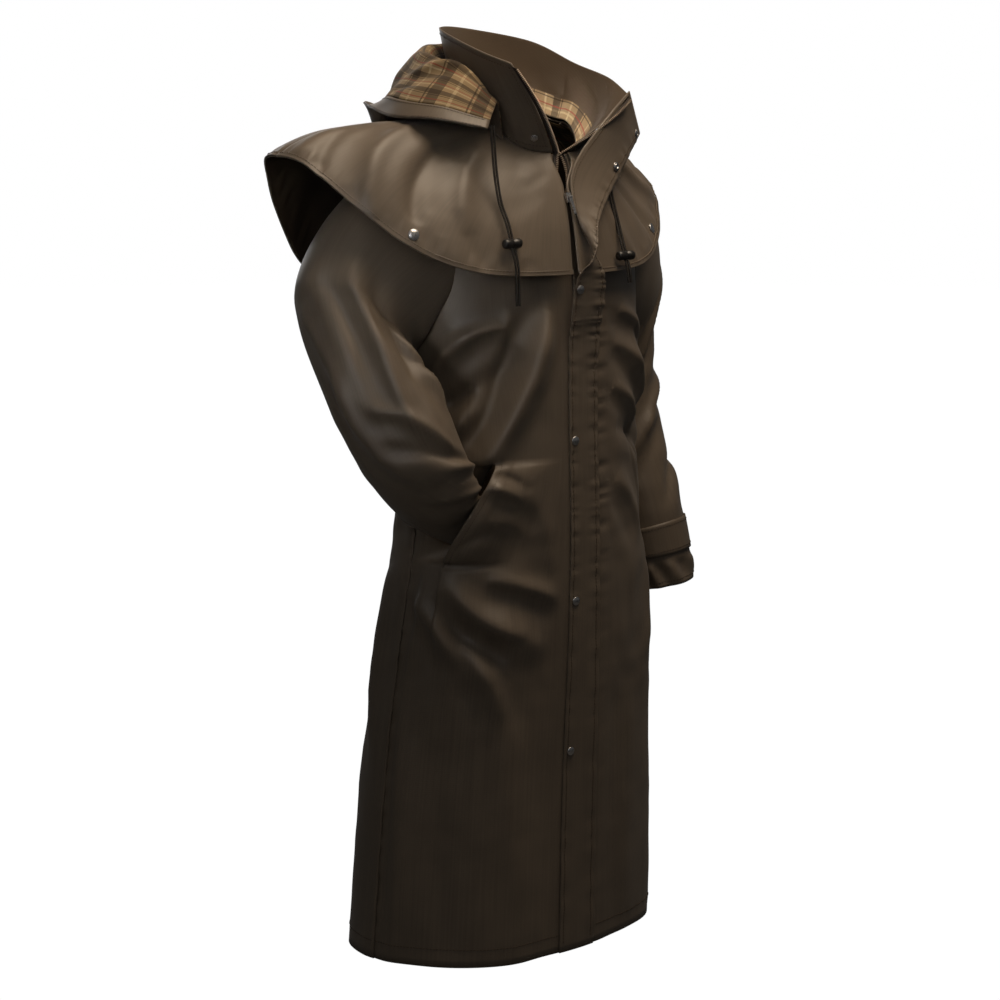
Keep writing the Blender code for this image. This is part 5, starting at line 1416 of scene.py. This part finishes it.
def turned_form(profile, axis, steps):
    """Bmesh of a profile spun round an axis through the origin, with its poles and seam closed."""
    bm = bmesh.new()
    verts = [bm.verts.new(point) for point in profile]
    edges = [bm.edges.new(pair) for pair in zip(verts, verts[1:])]
    bmesh.ops.spin(bm, geom=verts + edges, cent=(0, 0, 0), axis=axis, angle=2 * np.pi, steps=steps,
                   use_merge=True)
    bmesh.ops.remove_doubles(bm, verts=bm.verts, dist=1e-6)
    bmesh.ops.recalc_face_normals(bm, faces=bm.faces)
    for face in bm.faces:
        face.smooth = True
    return bm


def stitch_unit():
    """One stitch: a short rounded bar along X that sinks at both ends."""
    sizes = bpy.context.scene.coat_sizes
    bm = bmesh.new()
    bmesh.ops.create_cube(bm, size=1.0)
    thick = 2 * sizes.thread_radius
    bmesh.ops.scale(bm, vec=(sizes.stitch_length, thick, thick), verts=bm.verts)
    ends = [edge for edge in bm.edges if abs(edge.verts[0].co.x - edge.verts[1].co.x) < 1e-6]
    bmesh.ops.bevel(bm, geom=ends, offset=0.9 * sizes.thread_radius, segments=1, profile=0.5, affect="EDGES",
                    material=-1)
    return bm


def stitch_lines(name, lines):
    """One object of sewn lines; each line is (points, directions out)."""
    sizes = bpy.context.scene.coat_sizes
    runs = [along_line(points, out, sizes.stitch_pitch) for points, out in lines]
    centres = np.concatenate([run[0] for run in runs])
    frames = np.concatenate([run[1] for run in runs])
    obj = place_units(name, stitch_unit(), centres, frames, sewing_thread())
    settle(obj, ())
    return obj


def length_value(name, description, default):
    """A length setting in metres."""
    return bpy.props.FloatProperty(name=name, description=description, default=default, unit="LENGTH")


def power_value(name, description, default):
    """A light's power setting in watts."""
    return bpy.props.FloatProperty(name=name, description=description, default=default, unit="POWER")


class CoatSizes(bpy.types.PropertyGroup):
    """Sizes of the coat's finish that a user would change."""
    stitch_length: length_value("Stitch length", "Length of one stitch", 0.0036)
    stitch_pitch: length_value("Stitch pitch", "From one stitch to the next", 0.0048)
    thread_radius: length_value("Thread radius", "Half the sewing thread's thickness", 0.00045)
    tooth_pitch: length_value("Tooth pitch", "From one zip tooth to the next", 0.0027)
    tooth_size: bpy.props.FloatVectorProperty(
        name="Tooth size", description="Zip tooth along, across and through",
        default=(0.0014, 0.0036, 0.0026), size=3, unit="LENGTH")
    floor_radius: length_value("Floor radius", "Radius of the studio floor", 14.0)
    floor_down: length_value("Floor depth", "Neck level to the floor as worn", 1.46)
    key_power: power_value("Key light", "Power of the overhead light in watts", 31.0)
    fill_power: power_value("Fill light", "Power of the front light in watts", 6.5)
    side_power: power_value("Side light", "Power of the light beside the right sleeve", 0.16)
    back_power: power_value("Back light", "Power of the light behind the coat in watts", 12.0)
    neck_power: power_value("Neck light", "Power of the light into the neck in watts", 0.08)


def colour_value(name, description, code):
    """A colour setting whose default is an sRGB hex code."""
    return bpy.props.FloatVectorProperty(name=name, description=description, default=to_linear(code), size=4,
                                         subtype="COLOR", min=0.0, max=1.0)


class CoatColours(bpy.types.PropertyGroup):
    """Colours of the coat's materials."""
    cloth_light: colour_value("Cloth light", "Proofed cotton where it is palest", "#64584a")
    cloth_dark: colour_value("Cloth dark", "Proofed cotton where it is deepest", "#544a3f")
    inner_cloth: colour_value("Inner cloth", "Plain lining of body and sleeves", "#43372a")
    check_ground: colour_value("Check ground", "Tan ground of the hood lining", "#7f6b4e")
    check_dark: colour_value("Check dark", "Dark bars of the hood lining", "#261d15")
    check_red: colour_value("Check red", "Fine red line of the hood lining", "#7d2f28")
    check_cream: colour_value("Check pale", "Pale lines of the hood lining", "#a08e6d")
    zip_tape: colour_value("Zip tape", "Woven tape of the zip", "#2a211a")
    teeth: colour_value("Zip teeth", "Oxidised metal of the teeth", "#b09c88")
    nickel: colour_value("Nickel", "Snaps, slider and pull tab", "#c9c8c8")
    cord: colour_value("Cord", "Drawcords and toggles", "#15120f")
    thread: colour_value("Thread", "Sewing thread", "#4a3c2c")
    floor: colour_value("Floor", "Studio floor", "#fafafa")


class CoatDrawcords(bpy.types.Operator):
    """Hood drawcords, two strands a side, each pair through a barrel toggle"""
    bl_idname = "coat.drawcords"
    bl_label = "Drawcords"

    def execute(self, context):
        for side, route in (("right", CORD_RIGHT), ("left", CORD_LEFT)):
            route = np.array(route)
            marks = np.arange(len(route), dtype=float)
            at = np.linspace(0.0, marks[-1], 40)
            line = np.stack([smooth(marks, route[:, k], at) for k in range(3)], -1)
            toggle = self.toggle(side, route)
            for strand, shift in (("a", -STRAND_SPREAD), ("b", STRAND_SPREAD)):
                points = line + np.array([shift, 0.0, 0.0])
                curve = bpy.data.curves.new(f"cord_{side}_{strand}", "CURVE")
                curve.dimensions = "3D"
                curve.bevel_depth = CORD_RADIUS
                curve.bevel_resolution = 4
                curve.use_fill_caps = True
                spline = curve.splines.new("POLY")
                spline.points.add(len(points) - 1)
                for target, point in zip(spline.points, points):
                    target.co = (*point, 1.0)
                spline.use_smooth = True
                curve.materials.append(braided_cord())
                obj = bpy.data.objects.new(f"cord_{side}_{strand}", curve)
                context.scene.collection.objects.link(obj)
                settle(obj, [f"drawcord_{side}_{strand}"])
        return {"FINISHED"}

    def toggle(self, side, route):
        """Barrel toggle: a turned profile with rounded ends and a groove, along X."""
        half = TOGGLE_LENGTH / 2
        profile = ((-1.0, 0.0), (-1.0, 0.62), (-0.93, 0.86), (-0.80, 1.0), (-0.16, 1.0), (-0.11, 0.86),
                   (0.11, 0.86), (0.16, 1.0), (0.80, 1.0), (0.93, 0.86), (1.0, 0.62), (1.0, 0.0))
        bm = turned_form([(x * half, 0.0, r * TOGGLE_RADIUS) for x, r in profile], (1, 0, 0), 28)
        bmesh.ops.translate(bm, vec=route[TOGGLE_AT], verts=bm.verts)
        obj = mesh_object(f"barrel_{side}", bm, toggle_plastic())
        settle(obj, [f"toggle_{side}"])
        return obj


class CoatBody(bpy.types.Operator):
    """Fronts with their pocket slits, and the back"""
    bl_idname = "coat.body"
    bl_label = "Body panels"

    def execute(self, context):
        cloth = [coat_cloth(), plain_lining()]
        rows = panel_rows()
        finer = 9
        line = round(FRONT_COLUMNS * POCKET_SPLIT)
        for side, sign, pocket in (("right", -1, POCKET_RIGHT), ("left", 1, POCKET_LEFT)):
            first = int(np.flatnonzero(np.isclose(rows, pocket[1]))[0]) * finer
            last = int(np.flatnonzero(np.isclose(rows, pocket[3]))[0]) * finer
            place = front_surface(sign, pocket)
            obj = dress(f"coat_front_{side}", FRONT_COLUMNS, (len(rows) - 1) * finer, place, cloth, CLOTH,
                        (0.33, 1.20), slit=lambda i, j: i == line and first <= j <= last)
            settle(obj, [f"front_{side}"])
        obj = dress("coat_back", 110, (len(rows) - 1) * 7, back_surface, cloth, CLOTH, (0.66, 1.20))
        settle(obj, ["back"])
        return {"FINISHED"}


class CoatSleeves(bpy.types.Operator):
    """Both sleeves, the wearer's right one with its end in the pocket, and the left cuff's strap"""
    bl_idname = "coat.sleeves"
    bl_label = "Sleeves and strap"

    def execute(self, context):
        cloth = [coat_cloth(), plain_lining()]
        for side, sign, stations, table, phase, shut in (
                ("right", -1, SLEEVE_RIGHT, RIGHT_CREASES, 0.7, 0.96),
                ("left", 1, SLEEVE_LEFT, LEFT_CREASES, 2.3, 1.4)):
            def inside(u, v, stations=stations, sign=sign):
                return sleeve_middle(stations, sign, v ** SLEEVE_SPACING)
            place = sleeve_surface(stations, sign, table, phase, shut)
            obj = dress(f"coat_sleeve_{side}", 104, 120, place, cloth, CLOTH, (0.48, 0.64),
                        inside=inside, closed=True)
            settle(obj, [f"sleeve_{side}_front", f"sleeve_{side}_back"])

        def strap_inside(u, v):
            return sleeve_middle(SLEEVE_LEFT, 1, STRAP_ALONG[0] + (STRAP_ALONG[1] - STRAP_ALONG[0]) * v)
        obj = dress("coat_cuff_strap", 90, 12, strap_surface, [coat_cloth()], THIN_CLOTH, (0.30, 0.06),
                    inside=strap_inside)
        settle(obj, ["cuff_strap"])
        return {"FINISHED"}


class CoatCape(bpy.types.Operator):
    """Shoulder cape in three pieces, with its bound edge"""
    bl_idname = "coat.cape"
    bl_label = "Cape"

    def execute(self, context):
        cloth = [coat_cloth(), plain_lining()]
        right = (lambda share: cape_edge_angle(share, -1), -90.0 + SEAM_SHUT)
        left = (lambda share: cape_edge_angle(share, 1), 90.0 - SEAM_SHUT)
        back = (90.0 + SEAM_SHUT, 270.0 - SEAM_SHUT)
        over = (CAPE_BINDING, 1.0), THIN_CLOTH + 2 * SEAM

        def inside(u, v):
            return np.array(CAPE_CORE) + 0 * u[..., None]

        for side, ends, columns, width in (("right", right, 84, 0.52), ("left", left, 72, 0.42),
                                           ("back", back, 140, 0.9)):
            obj = dress(f"coat_cape_{side}", columns, 56, cape_surface(*ends), cloth, CLOTH, (width, 0.25),
                        inside=inside)
            bound = dress(f"coat_cape_binding_{side}", columns, 8, cape_surface(*ends, *over), [coat_cloth()],
                          THIN_CLOTH, (width, 0.012), inside=inside)
            settle(bound, [f"cape_binding_{side}"])
            settle(obj, [f"cape_{side}"])
        return {"FINISHED"}


class CoatCollar(bpy.types.Operator):
    """Stand collar and the check lining inside the neck"""
    bl_idname = "coat.collar"
    bl_label = "Collar"

    def execute(self, context):
        facing = check_lining("collar facing", COLLAR_PLAIN)
        obj = dress("coat_collar", 150, 40, collar_surface, [coat_cloth(), facing], COLLAR_WALL, (0.62, 0.13))
        settle(obj, ["collar"])
        angles = from_rows((NECK_LINING_ANGLE, 270.0))
        downs = from_rows(NECK_LINING_DOWN)
        obj = dress("coat_neck_lining", 90, 14, lambda u, v: torso(angles(u), downs(v), -LINING_DEPTH),
                    [check_lining()], THIN_CLOTH, (0.46, 0.075))
        settle(obj, ["neck_lining"])
        return {"FINISHED"}


class CoatHood(bpy.types.Operator):
    """Hood folded down behind the collar, with its check lining and brim band"""
    bl_idname = "coat.hood"
    bl_label = "Hood"

    def execute(self, context):
        for name, node, material, slot, first, last, lift, side, rows in (
                ("coat_hood", "hood", coat_cloth(), "brown_coat_cloth", 0.0, 1.0, 0.0, -1, 70),
                ("coat_hood_lining", "hood_lining", check_lining(), "check_lining", 0.0,
                 HOOD_BAND - HOOD_BAND_STEP, LAY, 1, 60),
                ("coat_hood_band", "hood_band", coat_cloth(), "brown_coat_cloth", HOOD_BAND, 1.0, LAY, 1,
                 12)):
            def inside(u, v, first=first, last=last, lift=lift, side=side):
                return hood_surface(first, last, lift + side * THIN_CLOTH)(u, v)
            obj = dress(name, 150, rows, hood_surface(first, last, lift), [material], THIN_CLOTH,
                        (0.74, 0.36 * (last - first)), inside=inside)
            settle(obj, [node])
        return {"FINISHED"}


class CoatStormFlap(bpy.types.Operator):
    """Storm flap over the zip, folded open above its top snap"""
    bl_idname = "coat.storm_flap"
    bl_label = "Storm flap"

    def execute(self, context):
        obj = dress("coat_storm_flap", 22, int(flap_rows()) * 9, flap_surface, [coat_cloth()], CLOTH,
                    (0.055, 1.27))
        settle(obj, ["storm_flap"])
        return {"FINISHED"}


class CoatZip(bpy.types.Operator):
    """Zip tapes and teeth along the open front edges, slider and pull tab"""
    bl_idname = "coat.zip"
    bl_label = "Zip"

    def execute(self, context):
        sizes = context.scene.coat_sizes
        for side, sign in (("right", -1), ("left", 1)):
            place = tape_surface(sign)
            obj = dress(f"coat_zip_tape_{side}", 4, 110, place, [zip_tape_cloth()], THIN_CLOTH,
                        (0.0075, 0.26))
            obj.modifiers["Wall"].offset = 0.0
            settle(obj, [f"zip_tape_{side}"])
            v = np.linspace(1.0, 0.0, 400)
            edge, out = sewn_line(f"coat_zip_tape_{side}", 0.93, v, 0.0)
            centres, frames = along_line(edge, out, sizes.tooth_pitch)
            bm = bmesh.new()
            bmesh.ops.create_cube(bm, size=1.0)
            bmesh.ops.scale(bm, vec=tuple(sizes.tooth_size), verts=bm.verts)
            bmesh.ops.bevel(bm, geom=bm.edges[:], offset=0.0004, segments=1, profile=0.5, affect="EDGES",
                            material=-1)
            teeth = place_units(f"zip_teeth_{side}", bm, centres, frames, dark_zip_metal())
            settle(teeth, ())
        for node in ("zip_slider", "zip_pull"):
            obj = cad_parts[node]
            for slot in obj.material_slots:
                slot.material = nickel_plate()
        return {"FINISHED"}


class CoatSnaps(bpy.types.Operator):
    """Snaps: domed caps on flap and cape, ring sockets on the open flap, stud on the collar"""
    bl_idname = "coat.snaps"
    bl_label = "Snaps"

    def execute(self, context):
        shut = len(FLAP_OPEN) * FLAP_OPEN_STEPS
        downs = [row for row in panel_rows() if row > FLAP_SHUT_DOWN + CAPE_HANG]
        for number, down in enumerate(FLAP_SNAP_DOWN, 1):
            row = shut + np.interp(down, [FLAP_SHUT_DOWN, *downs], np.arange(len(downs) + 1))
            point, out = on_flap(FLAP_SNAP_IN, row)
            self.cap(f"flap_snap_{number}", point + out * SNAP_STEP, out, SNAP_RADIUS, SNAP_HEIGHT)
        for number, (row, u) in enumerate(FLAP_SOCKETS, 1):
            point, out = on_flap(u, row)
            self.socket(f"flap_socket_{number}", point + out * (CLOTH + SOCKET_STEP), out, SNAP_RADIUS)
        at = (np.array([STUD_ANGLE]), np.array([STUD_SHARE]))
        out = normals(lambda a, share: collar_form(a * 180.0, share), at[0] / 180.0, at[1])[0]
        out = out if out[1] < 0 else -out
        self.cap("collar_stud", collar_form(*at)[0] + out * SNAP_STEP, out, STUD_RADIUS, SNAP_HEIGHT)
        for name, angle in (("cape_snap_right", -CAPE_SNAP_ANGLE), ("cape_snap_left", CAPE_SNAP_ANGLE)):
            at = (np.array([angle]), np.array([CAPE_SNAP_SHARE]))
            out = body_unit(cape_form, *at)[0]
            point = cape_form(*at)[0] + out * (cape_relief(*at)[0] + SNAP_STEP)
            self.cap(name, point, out, CAPE_SNAP_RADIUS, CAPE_SNAP_HEIGHT)
        return {"FINISHED"}

    def turned(self, node, point, out, profile):
        """Turned metal piece standing on a surface, from (radius, height) pairs."""
        out, aside, up = look_at(np.array(out, float))
        bm = turned_form([(r, 0.0, h) for r, h in profile], (0, 0, 1), 32)
        turn = Matrix((aside, up, out)).transposed()
        bmesh.ops.transform(bm, matrix=Matrix.Translation(point) @ turn.to_4x4(), verts=bm.verts)
        obj = mesh_object(f"metal_{node}", bm, nickel_plate())
        settle(obj, [node])

    def cap(self, node, point, out, radius, height):
        """Domed cap with a rolled rim."""
        shape = ((0.0, 1.0), (0.30, 0.97), (0.55, 0.88), (0.74, 0.72), (0.82, 0.60), (0.86, 0.62),
                 (0.93, 0.58), (0.99, 0.40), (1.0, 0.22), (0.97, 0.04), (0.9, 0.0), (0.0, 0.0))
        self.turned(node, point, out, [(r * radius, h * height) for r, h in shape])

    def socket(self, node, point, out, radius):
        """Ring socket with an open middle."""
        shape = ((0.0, 0.25), (0.36, 0.25), (0.40, 0.75), (0.48, 1.0), (0.58, 0.95), (0.66, 0.55),
                 (0.86, 0.42), (0.98, 0.30), (1.0, 0.12), (0.9, 0.0), (0.0, 0.0))
        self.turned(node, point, out, [(r * radius, h * SNAP_HEIGHT) for r, h in shape])


class CoatStitching(bpy.types.Operator):
    """Sewn lines on flap, cape, collar, pockets, hems, hood and strap"""
    bl_idname = "coat.stitching"
    bl_label = "Stitching"

    def execute(self, context):
        lift = context.scene.coat_sizes.thread_radius * 0.35
        fine = np.linspace(0.0, 1.0, 900)
        wide = 0.01 + 0.98 * fine

        def on(name, u, v, far=False):
            return sewn_line(name, u, v, lift, far)

        flap = [on("coat_storm_flap", u, 0.004 + 0.992 * fine) for u in (0.10, 0.90)]
        flap += [on("coat_storm_flap", u, 0.004 + 0.31 * fine, far=True) for u in (0.10, 0.90)]
        stitch_lines("stitches_flap", flap)
        rows = panel_rows()
        low = np.interp(HEM_DOWN - 0.026, rows, np.linspace(0.0, 1.0, len(rows)))
        panels = ("front_right", "front_left", "back")
        stitch_lines("stitches_hem", [on(f"coat_{name}", wide, low) for name in panels])
        sides = ("right", "left", "back")
        stitch_lines("stitches_cape", [on(f"coat_cape_binding_{side}", wide, 0.16) for side in sides])
        collar = [on("coat_collar", wide, v) for v in (0.06, 0.93)]
        collar += [on("coat_collar", u, 0.05 + 0.88 * fine) for u in (0.016, 0.984)]
        stitch_lines("stitches_collar", collar)
        stitch_lines("stitches_hood", [on("coat_hood_band", wide, v, far=True) for v in (0.12, 0.9)])
        strap = [on("coat_cuff_strap", wide, v) for v in (0.12, 0.88)]
        stitch_lines("stitches_strap", strap + [on("coat_cuff_strap", 0.975, 0.12 + 0.76 * fine)])
        stitch_lines("stitches_pockets", [self.pocket("right", -1, POCKET_RIGHT, fine, lift),
                                          self.pocket("left", 1, POCKET_LEFT, fine, lift)])
        stitch_lines("stitches_cuff", [on("coat_sleeve_left", wide, 0.985)])
        return {"FINISHED"}

    def pocket(self, side, sign, pocket, fine, lift):
        """Sewn line beside a pocket's front lip."""
        rows = panel_rows()
        down = pocket[1] + (pocket[3] - pocket[1]) * fine
        v = np.interp(down, rows, np.linspace(0.0, 1.0, len(rows)))
        near = sign * front_edge_angle(down, sign)
        u = POCKET_SPLIT * (1.0 - np.degrees(WELT_LINE / FOLD_GIRTH) / (pocket_angle(pocket, down) - near))
        return sewn_line(f"coat_front_{side}", u, v, lift)


class CoatStage(bpy.types.Operator):
    """Studio: pale floor, white surround, soft lights and the camera"""
    bl_idname = "coat.stage"
    bl_label = "Stage"

    def execute(self, context):
        scene = context.scene
        sizes = scene.coat_sizes
        scene.view_settings.view_transform = "Standard"
        bm = bmesh.new()
        bmesh.ops.create_circle(bm, cap_ends=True, segments=96, radius=sizes.floor_radius)
        bmesh.ops.translate(bm, vec=(0.0, 0.0, -sizes.floor_down), verts=bm.verts)
        floor = mesh_object("studio_floor", bm, self.floor_paint(scene.coat_colours.floor))
        self.surround(scene)
        for name, (place, aim, size, colour, spread) in LIGHTS.items():
            self.light(name, place, aim, size, getattr(sizes, f"{name}_power"), colour, spread)
        camera = bpy.data.cameras.new("camera")
        camera.lens = LENS
        camera.sensor_width = SENSOR
        eye = bpy.data.objects.new("camera", camera)
        eye.location = CAMERA_PLACE
        eye.rotation_euler = np.radians(CAMERA_TURN)
        scene.collection.objects.link(eye)
        scene.camera = eye
        return {"FINISHED"}

    def light(self, name, place, aim, size, power, colour, spread):
        """Soft square light aimed at a point."""
        lamp = bpy.data.lights.new(name, "AREA")
        lamp.size = size
        lamp.energy = power
        lamp.color = colour
        lamp.spread = np.radians(spread)
        obj = bpy.data.objects.new(name, lamp)
        obj.location = place
        obj.rotation_euler = (Vector(aim) - Vector(place)).to_track_quat("-Z", "Y").to_euler()
        bpy.context.scene.collection.objects.link(obj)

    def floor_paint(self, colour):
        """Matt white paint: even and pale, lit from within so that the sweep stays white."""
        material, tree, shader = start_material("white studio paint", Roughness=0.9)
        path = add_node(tree, "ShaderNodeLightPath")
        glow = add_node(tree, "ShaderNodeEmission", {"Color": tuple(colour), "Strength": FLOOR_GLOW})
        mixed = add_node(tree, "ShaderNodeMixShader", {0: path.outputs["Is Camera Ray"], 1: shader.outputs[0],
                                                       2: glow.outputs[0]})
        shader.inputs["Base Color"].default_value = FLOOR_BOUNCE
        tree.links.new(mixed.outputs[0], tree.nodes["Material Output"].inputs["Surface"])
        return material

    def surround(self, scene):
        """White surround that lights the coat only a little."""
        world = bpy.data.worlds.new("studio")
        scene.world = world
        world.use_nodes = True
        tree = world.node_tree
        tree.nodes.clear()
        path = add_node(tree, "ShaderNodeLightPath")
        strength = spread_over(tree, path.outputs["Is Camera Ray"], 0.0, 1.0, SURROUND_LIGHT, 1.0)
        back = add_node(tree, "ShaderNodeBackground", {"Color": (*WHITE, 1.0), "Strength": strength})
        add_node(tree, "ShaderNodeOutputWorld", {0: back.outputs[0]})


class CoatPanel(bpy.types.Panel):
    """Lists the coat's pieces and settings"""
    bl_idname = "VIEW3D_PT_coat"
    bl_label = "Cape coat"
    bl_space_type = "VIEW_3D"
    bl_region_type = "UI"
    bl_category = "Coat"

    def draw(self, context):
        for group in (context.scene.coat_sizes, context.scene.coat_colours):
            for name in group.bl_rna.properties.keys():
                if name not in ("rna_type", "name"):
                    self.layout.prop(group, name)
        for step in STEPS:
            self.layout.operator(step.bl_idname)


STEPS = (CoatStage, CoatDrawcords, CoatBody, CoatSleeves, CoatCape, CoatCollar, CoatHood, CoatStormFlap,
         CoatZip, CoatSnaps, CoatStitching)
CLASSES = (CoatSizes, CoatColours, *STEPS, CoatPanel)


def register():
    for cls in CLASSES:
        bpy.utils.register_class(cls)
    bpy.types.Scene.coat_sizes = bpy.props.PointerProperty(type=CoatSizes)
    bpy.types.Scene.coat_colours = bpy.props.PointerProperty(type=CoatColours)


def unregister():
    del bpy.types.Scene.coat_colours
    del bpy.types.Scene.coat_sizes
    for cls in reversed(CLASSES):
        bpy.utils.unregister_class(cls)


def main():
    """Makes every piece in order."""
    register()
    for step in STEPS:
        group, name = step.bl_idname.split(".")
        getattr(getattr(bpy.ops, group), name)()


if __name__ == "__main__":
    main()
